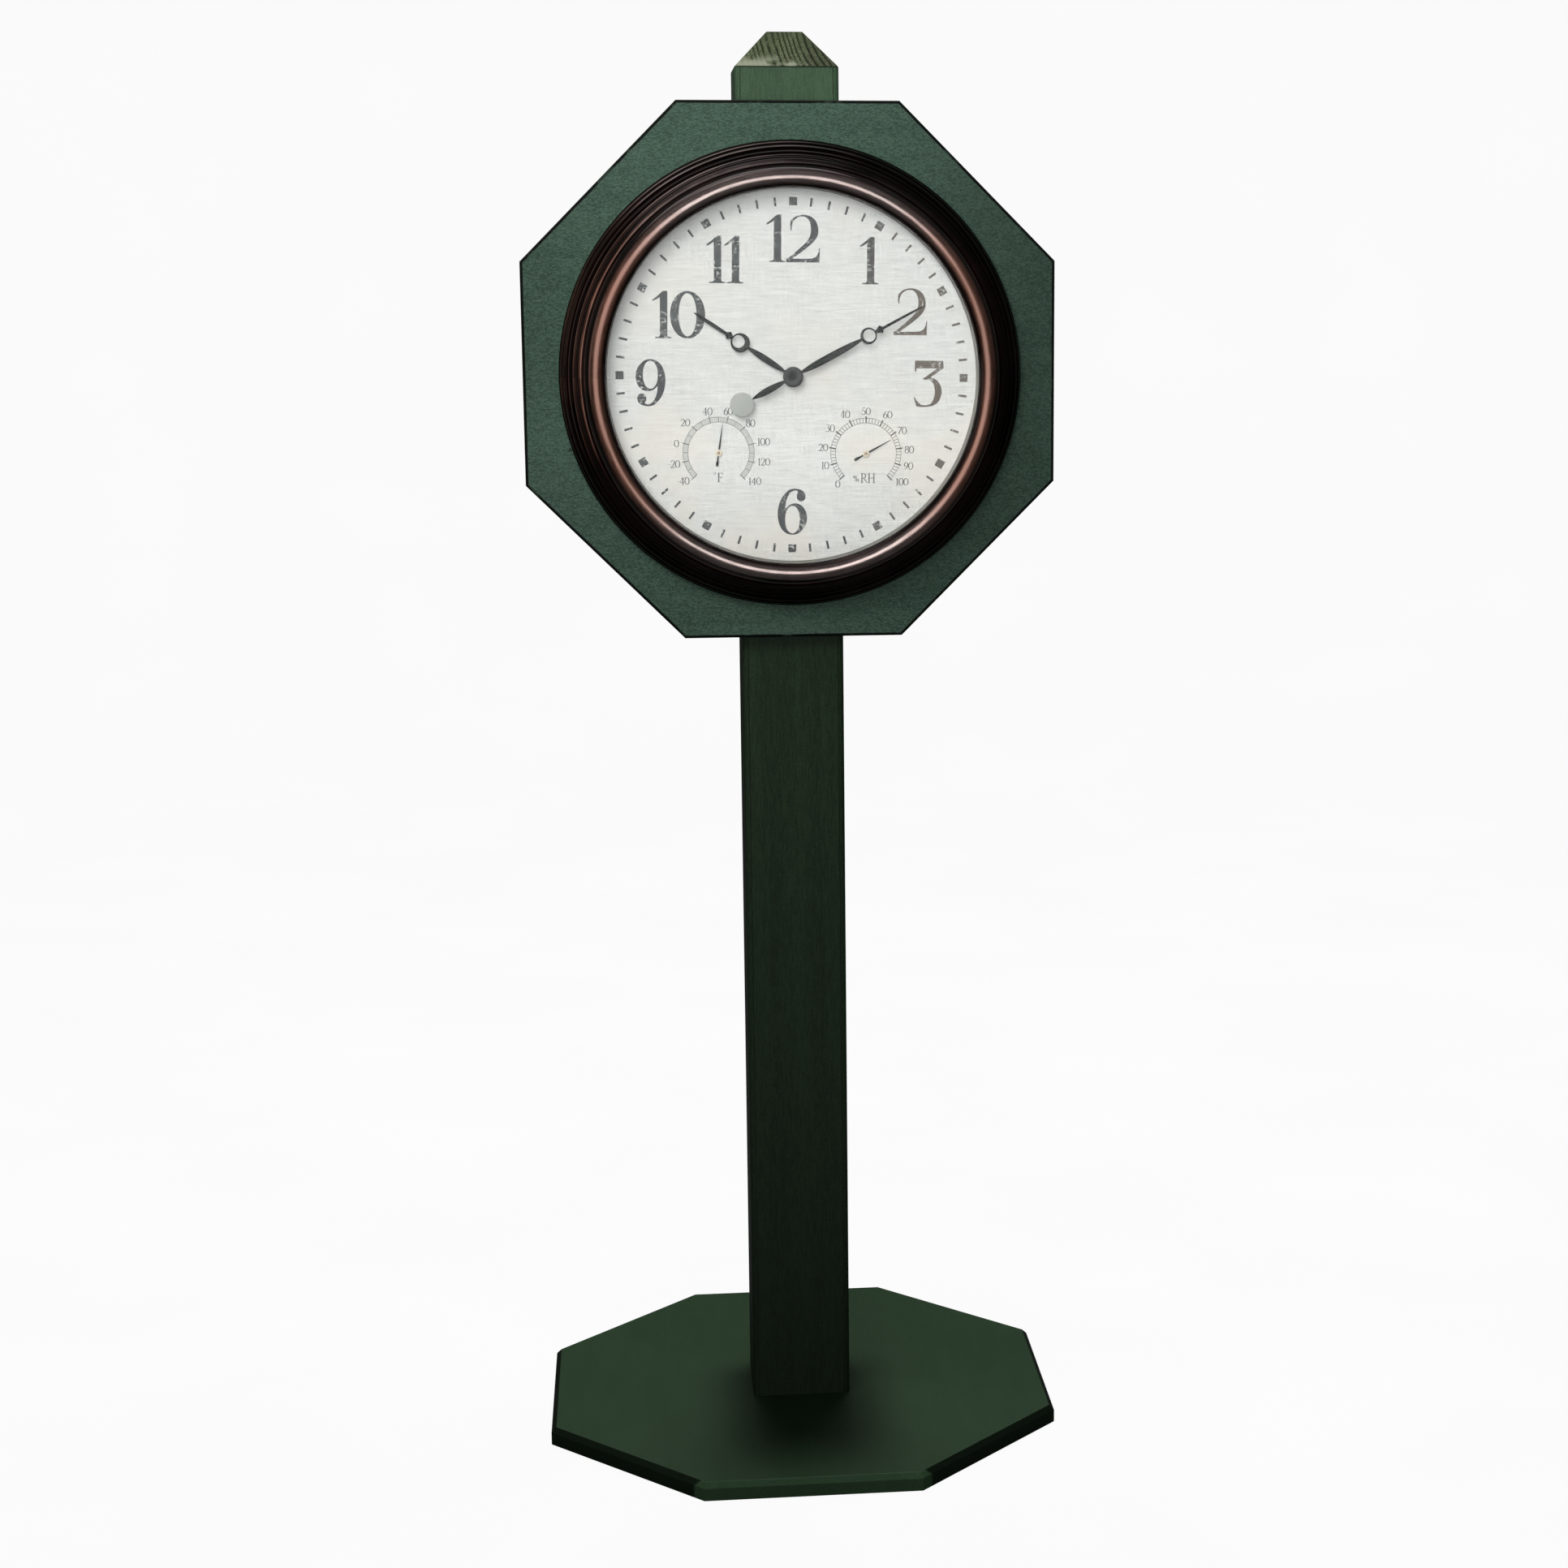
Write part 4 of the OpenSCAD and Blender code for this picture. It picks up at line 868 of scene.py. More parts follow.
def frame_profile():
    profile = [(197.4, 0.4), (198.0, 1.0)]
    for outer, low, inner, high in FRAME_STEPS:
        profile += arc(inner, low, outer - inner, high - low, 0, 90, 9)
        profile.append((inner - 0.02, high + 0.12))
    profile.append((174.95, 36.45))
    # the bead, with the crown's point taken once
    crown = 166.2
    profile += arc(crown, 40.0, 8.7, 8.0, 0, 90, 24)
    profile += [q for q in arc(crown, 40.6, 8.7, 7.4, 90, 180, 24) if q[0] < 166.1]
    return profile + FRAME_INSIDE


make("clock_frame_piece", *lathe(frame_profile(), ROUND_SEGMENTS), BRONZE, "clock",
     "bronze_frame", "clock_frame", 38)
make("spacer_ring_piece", *lathe(SPACER_PROFILE, ROUND_SEGMENTS), SPACER, "clock",
     "silver_ring", "spacer_ring", 30)


# ------------------------------------------------------------------ printed marks on the dial
def turned(x, y, degrees):
    """turns a point anticlockwise"""
    cos, sin = math.cos(math.radians(degrees)), math.sin(math.radians(degrees))
    return x * cos - y * sin, x * sin + y * cos


def signed_area(loop):
    return 0.5 * sum(a[0] * b[1] - b[0] * a[1] for a, b in zip(loop, loop[1:] + loop[:1]))


class Print:
    """thin printed shapes, collected into one mesh, a hair above the dial"""
    def __init__(self, rise):
        self.verts = []
        self.faces = []
        self.height = FACE + rise

    def fill(self, loops, at=(0, 0), size=1.0, angle=0.0):
        """closed outlines, the first the outside and the others holes; angle is clockwise"""
        points = []
        for q in (q for loop in loops for q in loop):
            x, y = turned(q[0], q[1], -angle)
            points.append(turned(at[0] + size * x, at[1] + size * y, -DIAL_TURN))
        triangles = geometry.tessellate_polygon(
            [[Vector((q[0], q[1], 0)) for q in loop] for loop in loops])
        front = len(self.verts)
        self.verts += [clock_point(x, y, self.height) for x, y in points]
        self.faces += [tuple(front + i for i in t) for t in triangles]
        # sides and a back just under the dial's face close each mark
        back = len(self.verts)
        self.verts += [clock_point(x, y, FACE - 0.02) for x, y in points]
        self.faces += [tuple(back + i for i in reversed(t)) for t in triangles]
        start = 0
        for loop in loops:
            for i in range(len(loop)):
                a, b = start + i, start + (i + 1) % len(loop)
                self.faces.append((front + a, front + b, back + b, back + a))
            start += len(loop)

    def bar(self, half_width, low, high, at=(0, 0), angle=0.0):
        self.fill([[(-half_width, low), (half_width, low), (half_width, high),
                    (-half_width, high)]], at, angle=angle)

    def stroke(self, points, thick, thin, at=(0, 0), size=1.0, closed=False):
        """a pen line; thick and thin are half widths of its upright and level parts"""
        count = len(points)
        left, right = [], []
        for i, (x, y) in enumerate(points):
            before = points[(i - 1) % count] if closed else points[max(0, i - 1)]
            after = points[(i + 1) % count] if closed else points[min(count - 1, i + 1)]
            dx, dy = after[0] - before[0], after[1] - before[1]
            length = math.hypot(dx, dy) or 1.0
            dx, dy = dx / length, dy / length
            half = thin + (thick - thin) * abs(dy) ** 2.2
            left.append((x - dy * half, y + dx * half))
            right.append((x + dy * half, y - dx * half))
        if not closed:
            loops = [left + right[::-1]]
        elif abs(signed_area(left)) > abs(signed_area(right)):
            loops = [left, right]
        else:
            loops = [right, left]
        self.fill(loops, at, size)

    def arc_band(self, at, inner, outer, limit, steps=90):
        """band around a hub, from -limit to +limit degrees"""
        angles = [math.radians(-limit + 2 * limit * i / steps) for i in range(steps + 1)]
        rims = [[(r * math.sin(a), r * math.cos(a)) for a in angles] for r in (outer, inner)]
        self.fill([rims[0] + rims[1][::-1]], at)

    def build(self, name, mat):
        make(name, self.verts, self.faces, mat, "clock", "dial_board")


def rounded_outline(points):
    """rounds the stretches of an outline between its corners, which have a third value"""
    count = len(points)
    corners = [i for i, p in enumerate(points) if len(p) > 2]
    outline = []
    for start, end in zip(corners, corners[1:] + corners[:1]):
        stretch = [points[(start + i) % count][:2] for i in range((end - start) % count + 1)]
        if len(stretch) == 2:
            outline.append(stretch[0])
        else:
            outline += [tuple(q) for q in catmull_rom(stretch, 7)]
    return outline


def ellipse(x, y, radius_x, radius_y, count=56, power=2.0):
    """an ellipse, squarer as power grows above two"""
    def bulge(v):
        return math.copysign(abs(v) ** (2 / power), v)
    angles = [2 * math.pi * i / count for i in range(count)]
    return [(x + radius_x * bulge(math.cos(a)), y + radius_y * bulge(math.sin(a)))
            for a in angles]


# Outlines of the hour numerals, one unit tall: x, y, and a third value at a corner
SIX_WIDTH = 0.633
SIX_OUTLINE = [
    (0.378, 1.0), (0.300, 0.990), (0.227, 0.959), (0.104, 0.822), (0.030, 0.658), (0.0, 0.479),
    (0.014, 0.301), (0.077, 0.137), (0.186, 0.033), (0.315, 0.0), (0.450, 0.030), (0.570, 0.151),
    (0.630, 0.290), (0.633, 0.411), (0.595, 0.540), (0.505, 0.645), (0.378, 0.682), (0.255, 0.644),
    (0.167, 0.570, 1), (0.176, 0.670), (0.205, 0.790), (0.262, 0.893), (0.325, 0.945),
    (0.392, 0.961), (0.447, 0.930, 1), (0.420, 0.880), (0.412, 0.822), (0.440, 0.757),
    (0.507, 0.727), (0.577, 0.757), (0.603, 0.830), (0.580, 0.915), (0.500, 0.978)]
ONE_OUTLINE = [
    (0.0, 0.0, 1), (0.342, 0.0, 1), (0.342, 0.028, 1), (0.285, 0.034), (0.258, 0.060, 1),
    (0.262, 1.0, 1), (0.172, 0.998, 1), (0.120, 0.955), (0.050, 0.895), (-0.0625, 0.806, 1),
    (-0.045, 0.784, 1), (0.030, 0.822), (0.101, 0.869, 1), (0.101, 0.060, 1), (0.070, 0.034),
    (0.0, 0.028, 1)]
TWO_OUTLINE = [
    (0.0, 0.0, 1), (0.715, 0.0, 1), (0.721, 0.308, 1), (0.706, 0.302, 1), (0.690, 0.215),
    (0.655, 0.140), (0.590, 0.095), (0.490, 0.079), (0.131, 0.073, 1), (0.270, 0.175),
    (0.410, 0.279), (0.571, 0.417), (0.660, 0.540), (0.688, 0.663), (0.676, 0.770), (0.625, 0.882),
    (0.522, 0.966), (0.378, 1.0), (0.240, 0.978), (0.140, 0.918), (0.092, 0.860, 1), (0.084, 0.760),
    (0.099, 0.663, 1), (0.115, 0.668, 1), (0.126, 0.780), (0.170, 0.878), (0.250, 0.944),
    (0.350, 0.966), (0.442, 0.932), (0.506, 0.840), (0.530, 0.712), (0.516, 0.583), (0.452, 0.455),
    (0.300, 0.305), (0.042, 0.085, 1), (0.0, 0.074, 1)]
THREE_OUTLINE = [
    (0.022, 0.994, 1), (0.632, 0.994, 1), (0.646, 0.837, 1), (0.612, 0.815, 1), (0.365, 0.640, 1),
    (0.478, 0.593), (0.560, 0.505), (0.604, 0.382), (0.600, 0.262), (0.534, 0.110), (0.400, 0.022),
    (0.200, 0.0), (0.056, 0.012, 1), (0.0, 0.199, 1), (0.024, 0.208, 1), (0.075, 0.122),
    (0.165, 0.052), (0.267, 0.036), (0.385, 0.085), (0.447, 0.230), (0.456, 0.372), (0.424, 0.500),
    (0.337, 0.573), (0.197, 0.588, 1), (0.205, 0.610, 1), (0.505, 0.829, 1), (0.060, 0.829, 1),
    (0.048, 0.757, 1), (0.014, 0.753, 1)]
SIX = [rounded_outline(SIX_OUTLINE), ellipse(0.321, 0.329, 0.160, 0.298, power=2.1)]
# a nine is a six turned half round
NINE = [rounded_outline([(SIX_WIDTH - p[0], 1 - p[1]) + p[2:] for p in SIX_OUTLINE]),
        [(SIX_WIDTH - x, 1 - y) for x, y in SIX[1]]]
NUMERALS = {
    "0": [ellipse(0.374, 0.5, 0.374, 0.502, 64, 2.05), ellipse(0.374, 0.5, 0.189, 0.452, 56, 2.1)],
    "1": [rounded_outline(ONE_OUTLINE)],
    "2": [rounded_outline(TWO_OUTLINE)],
    "3": [rounded_outline(THREE_OUTLINE)],
    "6": SIX,
    "9": NINE,
}
NUMERAL_HEIGHT = 39.5
SECOND_DIGIT = {"12": 0.365, "10": 0.317, "11": 0.383}   # x of the second digit
# hour, then the radius and clockwise angle of its centre
HOURS = (("12", 115.6, 0.0), ("1", 117.2, 33.3), ("2", 114.6, 61.0), ("3", 116.6, 92.5),
         ("6", 115.0, 180.0), ("9", 120.6, 267.1), ("10", 109.1, 297.9), ("11", 113.2, 329.4))


def on_circle(radius, angle):
    """point at a clockwise angle from twelve"""
    return radius * math.sin(math.radians(angle)), radius * math.cos(math.radians(angle))


def hour_numerals():
    ink = Print(rise=0.07)
    for text, radius, angle in HOURS:
        starts = (0.0, SECOND_DIGIT.get(text, 0.0))
        glyphs = [(start, NUMERALS[digit]) for start, digit in zip(starts, text)]
        xs = [start + q[0] for start, loops in glyphs for loop in loops for q in loop]
        centre = (min(xs) + max(xs)) / 2
        for start, loops in glyphs:
            ink.fill([[(x + start - centre, y - 0.5) for x, y in loop] for loop in loops],
                     on_circle(radius, angle), NUMERAL_HEIGHT)
    ink.build("hour_numerals", NUMERAL_INK)


def minute_track():
    """a square at every hour and a short bar at every other minute"""
    ink = Print(rise=0.07)
    for minute in range(60):
        half_width, half_length = (3.4, 3.4) if minute % 5 == 0 else (0.95, 3.6)
        angle = 6.0 * minute
        ink.bar(half_width, -half_length, half_length, on_circle(146.5, angle), angle)
    ink.build("minute_track", TICK_INK)


# Small characters, one unit tall: advance, then strokes. A "pen" line swells on downstrokes,
# a "loop" is a closed pen line, and "thin" and "bar" lines have an even width.
SMALL = {
    "0": (0.66, [("loop", ellipse(0.33, 0.5, 0.285, 0.47, 40))]),
    "1": (0.40, [("pen", [(0.20, 0.02), (0.20, 0.97)]), ("thin", [(0.20, 0.96), (0.05, 0.84)]),
                 ("thin", [(0.07, 0.02), (0.33, 0.02)])]),
    "2": (0.62, [("pen", arc(0.29, 0.72, 0.23, 0.25, 165, 0, 14)
                  + [(0.50, 0.60), (0.42, 0.45), (0.28, 0.26), (0.08, 0.04)]),
                 ("bar", [(0.05, 0.04), (0.56, 0.04)]), ("thin", [(0.55, 0.04), (0.58, 0.20)])]),
    "3": (0.56, [("thin", [(0.08, 0.97), (0.47, 0.97)]), ("thin", [(0.47, 0.97), (0.24, 0.60)]),
                 ("pen", arc(0.22, 0.31, 0.26, 0.29, 85, -150, 20))]),
    "4": (0.66, [("thin", [(0.42, 0.97), (0.04, 0.30)]), ("thin", [(0.03, 0.30), (0.63, 0.30)]),
                 ("pen", [(0.44, 0.97), (0.44, 0.02)]), ("thin", [(0.32, 0.02), (0.56, 0.02)])]),
    "5": (0.56, [("bar", [(0.16, 0.95), (0.50, 0.95)]), ("thin", [(0.16, 0.96), (0.11, 0.56)]),
                 ("pen", arc(0.22, 0.32, 0.26, 0.29, 115, -150, 20))]),
    "6": (0.60, [("pen", [(0.50, 0.95), (0.30, 0.82), (0.13, 0.60), (0.07, 0.34)]),
                 ("loop", ellipse(0.31, 0.31, 0.235, 0.29, 34))]),
    "7": (0.54, [("bar", [(0.05, 0.95), (0.52, 0.95)]),
                 ("pen", [(0.51, 0.95), (0.36, 0.62), (0.22, 0.30), (0.15, 0.02)]),
                 ("thin", [(0.05, 0.96), (0.03, 0.80)])]),
    "8": (0.60, [("loop", ellipse(0.30, 0.742, 0.20, 0.215, 32)),
                 ("loop", ellipse(0.30, 0.275, 0.245, 0.255, 36))]),
    "9": (0.60, [("pen", [(0.10, 0.05), (0.30, 0.18), (0.47, 0.40), (0.53, 0.66)]),
                 ("loop", ellipse(0.29, 0.69, 0.235, 0.29, 34))]),
    "-": (0.30, [("thin", [(0.05, 0.42), (0.27, 0.42)])]),
    "F": (0.62, [("pen", [(0.15, 0.02), (0.15, 0.97)]), ("thin", [(0.03, 0.97), (0.58, 0.97)]),
                 ("thin", [(0.15, 0.52), (0.45, 0.52)]), ("thin", [(0.03, 0.02), (0.29, 0.02)]),
                 ("thin", [(0.58, 0.97), (0.58, 0.80)]), ("thin", [(0.45, 0.60), (0.45, 0.44)])]),
    "R": (0.74, [("pen", [(0.15, 0.02), (0.15, 0.97)]), ("thin", [(0.03, 0.97), (0.32, 0.97)]),
                 ("pen", arc(0.32, 0.735, 0.20, 0.235, 90, -90, 16)),
                 ("thin", [(0.15, 0.50), (0.32, 0.50)]),
                 ("pen", [(0.32, 0.50), (0.48, 0.28), (0.70, 0.02)]),
                 ("thin", [(0.03, 0.02), (0.28, 0.02)])]),
    "H": (0.82, [("pen", [(0.15, 0.02), (0.15, 0.97)]), ("pen", [(0.65, 0.02), (0.65, 0.97)]),
                 ("thin", [(0.15, 0.50), (0.65, 0.50)])]
          + [("thin", [(x - 0.12, y), (x + 0.12, y)]) for x in (0.15, 0.65) for y in (0.02, 0.97)]),
    "%": (0.84, [("loop", ellipse(0.19, 0.72, 0.14, 0.20, 26)),
                 ("loop", ellipse(0.63, 0.26, 0.14, 0.20, 26)),
                 ("thin", [(0.20, 0.02), (0.62, 0.96)])]),
}
# text, then x and y of its middle from the gauge's hub
THERMO_LABELS = (
    ("-40", -30.0, -24.0), ("-20", -37.8, -9.7), ("0", -35.8, 7.7), ("20", -28.2, 25.5),
    ("40", -9.4, 35.1), ("60", 8.2, 35.3), ("80", 27.2, 25.5), ("100", 38.4, 9.7),
    ("120", 38.7, -7.4), ("140", 30.8, -24.0))
HYGRO_LABELS = (
    ("0", -24.0, -26.2), ("10", -34.9, -10.4), ("20", -36.6, 5.1), ("30", -30.7, 21.5),
    ("40", -18.0, 33.5), ("50", 0.0, 36.1), ("60", 18.5, 33.3), ("70", 31.2, 20.0),
    ("80", 37.4, 3.7), ("90", 36.9, -10.4), ("100", 31.4, -24.0))
# values marked by a kind of tick are multiples of the first column; then inner and outer
# radius and width; the first row that fits is used
THERMO_TICKS = ((20, 26.0, 32.2, 0.72), (10, 26.2, 30.4, 0.5), (2, 26.3, 30.3, 0.16))
HYGRO_TICKS = ((10, 26.0, 32.0, 1.15), (2, 26.3, 30.3, 0.42))


def small_text(ink, text, hub, x, y, size, thick=0.066, thin=0.028):
    """a line of small characters centred at x, y from a hub"""
    at = (hub[0] + x, hub[1] + y)
    widths = {"pen": (thick, thin), "loop": (thick, thin), "thin": (thin, thin),
              "bar": (thin * 1.7, thin * 1.7)}
    start = -sum(SMALL[char][0] for char in text) / 2
    for char in text:
        advance, strokes = SMALL[char]
        for kind, points in strokes:
            placed = [(p[0] + start, p[1] - 0.5) for p in points]
            ink.stroke(placed, *widths[kind], at, size, closed=kind == "loop")
        start += advance


def ticks(ink, hub, values, degrees_each, kinds):
    """ticks either side of the value 50, which is at the top"""
    for value in values:
        inner, outer, width = next(kind[1:] for kind in kinds if value % kind[0] == 0)
        ink.bar(width / 2, inner, outer, hub, (value - 50) * degrees_each)


def gauges():
    # the prints turn with the dial, so the hubs are turned back first
    thermo, hygro = turned(*THERMO_HUB, DIAL_TURN), turned(*HYGRO_HUB, DIAL_TURN)
    band = Print(rise=0.05)
    fine = Print(rise=0.09)
    band.arc_band(thermo, 26.2, 30.3, 135)
    for hub, outer in ((thermo, 30.4), (hygro, 30.3)):
        fine.arc_band(hub, 26.0, 26.35, 135.4)
        fine.arc_band(hub, outer - 0.2, outer + 0.15, 135.4)
    ticks(fine, thermo, range(-40, 141, 2), 1.5, THERMO_TICKS)
    ticks(fine, hygro, range(0, 101, 2), 2.7, HYGRO_TICKS)
    for hub, labels in ((thermo, THERMO_LABELS), (hygro, HYGRO_LABELS)):
        for text, x, y in labels:
            small_text(fine, text, hub, x, y, size=6.3)
    small_text(fine, "F", thermo, 1.3, -20.9, size=7.9)
    degree_sign = ellipse(thermo[0] - 3.3, thermo[1] - 17.7, 0.85, 0.85, 24)
    fine.stroke(degree_sign, 0.18, 0.18, closed=True)
    small_text(fine, "RH", hygro, 2.0, -20.9, size=8.3, thick=0.058, thin=0.024)
    small_text(fine, "%", hygro, -8.3, -21.3, size=5.8)
    band.build("gauge_band", BAND_INK)
    fine.build("gauge_scales", FINE_INK)


hour_numerals()
minute_track()
gauges()


# ------------------------------------------------------------------ hands
class Hand:
    """a pointer laid out along its length from its hub; heights are above its back"""
    def __init__(self, angle, back, hub=(0.0, 0.0)):
        self.verts = []
        self.faces = []
        self.angle = angle
        self.back = back
        self.hub = hub

    def point(self, x, along, height):
        x, y = turned(x, along, -self.angle)
        return clock_point(self.hub[0] + x, self.hub[1] + y, self.back + height)

    def leaf(self, stations, ridge=0.42, edge=0.14, rounded=True):
        """ridged blade; stations are (distance from the hub, half width)"""
        if rounded:
            curve = catmull_rom(stations, 6) + [stations[-1]]
            stations = [(float(d), max(0.04, float(w))) for d, w in curve]
        start = len(self.verts)
        for d, w in stations:
            crest = edge + ridge * w * 0.94
            section = ((-w, 0), (-w, edge), (-w * 0.12, crest), (w * 0.12, crest), (w, edge),
                       (w, 0))
            self.verts += [self.point(x, d, height) for x, height in section]
        last = start + 6 * (len(stations) - 1)
        for here in range(start, last, 6):
            for k in range(6):
                j = (k + 1) % 6
                self.faces.append((here + k, here + j, here + 6 + j, here + 6 + k))
        self.faces.append(tuple(start + k for k in range(6)))
        self.faces.append(tuple(last + k for k in reversed(range(6))))

    def ring(self, along, outer, inner, shift, rise=0.75, segments=72):
        """rounded ring whose opening is shifted towards the tip"""
        # share of the way from outer to inner edge, share of the rise
        section = ((0, 0), (0, 0.30), (0.18, 0.78), (0.5, 1.0), (0.82, 0.78), (1, 0.30), (1, 0))
        start = len(self.verts)
        for i in range(segments):
            angle = 2 * math.pi * i / segments
            out_x, out_y = outer * math.cos(angle), outer * math.sin(angle)
            in_x, in_y = inner * math.cos(angle), shift + inner * math.sin(angle)
            self.verts += [self.point(out_x + (in_x - out_x) * t,
                                      along + out_y + (in_y - out_y) * t, rise * height)
                           for t, height in section]
        self.faces += ring_faces(segments, len(section), start)

    def disc(self, along, profile, segments=72):
        """turned disc; profile is (radius, height) from the centre out and back"""
        start = len(self.verts)
        for i in range(segments):
            angle = 2 * math.pi * i / segments
            self.verts += [self.point(r * math.cos(angle), along + r * math.sin(angle), height)
                           for r, height in profile]
        self.faces += ring_faces(segments, len(profile), start)

    def build(self, name, mat, body, slot, replaces=None, smooth=24):
        make(name, self.verts, self.faces, mat, body, slot, replaces, smooth)


HUB_RISE = 0.62      # thickness of the minute hand at its hub


def minute_hand():
    hand = Hand(MINUTE_ANGLE, MINUTE_BACK)
    hand.disc(0, [(1.2, 0.0), (1.2, HUB_RISE), (3.6, HUB_RISE), (4.0, 0.74), (7.4, 0.74),
                  (8.2, 0.60), (8.6, 0.30), (8.6, 0.0)])
    hand.leaf([(7.6, 1.25), (9.7, 1.4), (14, 2.0), (18, 2.5), (25, 2.85), (34.5, 3.0), (48, 2.8),
               (58.6, 2.1), (64, 1.4), (67.0, 1.0)])
    hand.leaf([(-7.6, 1.25), (-9.7, 1.5), (-14, 2.2), (-19, 2.7), (-25, 2.85), (-30, 2.5),
               (-35, 1.6), (-39.6, 0.35)])
    hand.ring(73.1, outer=7.05, inner=5.3, shift=0.7)
    hand.leaf([(79.4, 1.2), (81.5, 1.7), (83.6, 2.7), (85.2, 3.7), (86.0, 2.6), (87.3, 1.2),
               (92, 1.15), (100, 1.15), (115, 0.95), (124, 0.6), (127.8, 0.12)],
              ridge=0.45, rounded=False)
    hand.build("minute_hand_piece", HAND_BLACK, "minute_hand_set", "black_hand", "minute_hand")


def minute_counterweight():
    weight = Hand(MINUTE_ANGLE, MINUTE_BACK)
    weight.disc(-49.3, [(0.02, 0.0), (0.02, 0.62), (9.6, 0.62), (10.0, 0.5), (10.2, 0.25),
                        (10.2, 0.0)], segments=96)
    weight.build("minute_counterweight_piece", WEIGHT_GREY, "minute_hand_set", "grey_hand",
                 "minute_counterweight")


def hand_nut():
    dome = [(2.25 * math.cos(math.radians(a)), 0.75 + 1.45 * math.sin(math.radians(a)))
            for a in range(0, 90, 9)]
    nut = Hand(0, MINUTE_BACK + HUB_RISE)
    nut.disc(0, [(0.02, 0.0), (3.1, 0.0), (3.15, 0.25), (3.0, 0.62), (2.55, 0.80), (2.35, 0.72)]
             + dome + [(0.02, 2.2)], segments=64)
    nut.build("hand_nut_piece", NUT_METAL, "minute_hand_set", "dark_nut", "hand_nut", 40)


def hour_hand():
    hand = Hand(HOUR_ANGLE, HOUR_BACK)
    hand.disc(0, [(2.6, 0.0), (2.6, 0.7), (7.4, 0.7), (8.0, 0.5), (8.3, 0.25), (8.3, 0.0)])
    hand.leaf([(7.4, 1.0), (9.7, 1.15), (14, 2.0), (18.5, 2.4), (23.5, 2.65), (30, 2.7),
               (35, 2.4), (41.5, 1.6), (45.6, 0.85)])
    hand.ring(52.9, outer=8.05, inner=5.3, shift=1.8)
    hand.leaf([(60.4, 1.25), (61.8, 1.9), (63.4, 3.0), (64.4, 3.75), (65.2, 2.7), (66.9, 1.35),
               (71, 1.4), (76, 1.55), (86, 1.5), (94, 1.05), (98, 0.6), (99.2, 0.15)],
              ridge=0.45, rounded=False)
    hand.build("hour_hand_piece", HAND_BLACK, "hour_hand_set", "black_hand", "hour_hand")


def gauge_needle(gauge, hub, tip):
    """needle with a cream hub and a brass cap"""
    node = gauge + "_needle"
    body = gauge + "_pointer"
    tail = 11.6
    angle = pointing(node, hub)
    back = heights(node)[0]
    needle = Hand(angle, back, hub)
    needle.leaf([(-tail, 0.35), (-tail + 0.5, 0.85), (-tail + 1.6, 1.15), (-tail + 3.6, 1.05),
                 (-6.0, 0.68), (-2.0, 0.55), (2.0, 0.72), (7, 0.70), (14, 0.50), (20, 0.30),
                 (tip, 0.10)], ridge=0.30, edge=0.12)
    needle.build(node + "_piece", HAND_BLACK, body, "black_hand", node)
    boss = Hand(angle, back + 0.16, hub)
    boss.disc(0, [(0.55, 0.0), (0.55, 0.45), (1.5, 0.50), (1.7, 0.72), (2.5, 0.72), (2.85, 0.50),
                  (3.0, 0.2), (3.0, 0.0)], segments=56)
    boss.build(node + "_hub", HUB_CREAM, body, "white_plastic", smooth=40)
    cap = Hand(angle, back + 0.3, hub)
    cap.disc(0, [(0.02, 0.0), (1.25, 0.0), (1.25, 0.35), (1.0, 0.62), (0.5, 0.80), (0.02, 0.86)],
             segments=40)
    cap.build(node + "_cap", PIVOT_BRASS, body, "brass", smooth=40)


minute_hand()
minute_counterweight()
hand_nut()
hour_hand()
gauge_needle("thermometer", THERMO_HUB, tip=25.5)
gauge_needle("hygrometer", HYGRO_HUB, tip=25.0)

# ------------------------------------------------------------------ CAD nodes that stay
KEPT = (
    (STEEL, "base_screws head_screws hanging_screw cover_screws hanger_plate hanger_rivets "
            "battery_contacts thermometer_spindle hygrometer_spindle"),
    (GLASS, "lens"),
    (RUBBER, "lens_gasket rubber_washer"),
    (LINEN, "dial"),
    (BLACK, "back_cover movement_case movement_plate driver_chip"),
    (BATTERY, "battery"),
    (CIRCUIT, "circuit_board"),
    (CRYSTAL_CAN, "timing_crystal"),
    (WHITE, "coil_bobbin hour_wheel minute_wheel set_knob seconds_wheel reduction_wheel "
            "rotor_shaft thermometer_housing hygrometer_housing"),
    (COPPER, "coil_winding"),
    (IRON, "coil_core stator"),
    (BRASS, "brass_washer dial_nut minute_arbor centre_wheel third_wheel thermometer_coil"),
    (MAGNET, "rotor_magnet"),
    (PAPER, "hygrometer_coil"),
)
KEPT_MATERIALS = {name: mat.material for mat, names in KEPT for name in names.split()}
for name, node in NODES.items():
    if name in KEPT_MATERIALS:
        if not node.material_slots:
            node.data.materials.append(KEPT_MATERIALS[name])
        for slot in node.material_slots:
            slot.material = KEPT_MATERIALS[name]

# ------------------------------------------------------------------ room, light and camera
scene = bpy.context.scene
scene.view_settings.view_transform = "Standard"
scene.view_settings.look = "None"


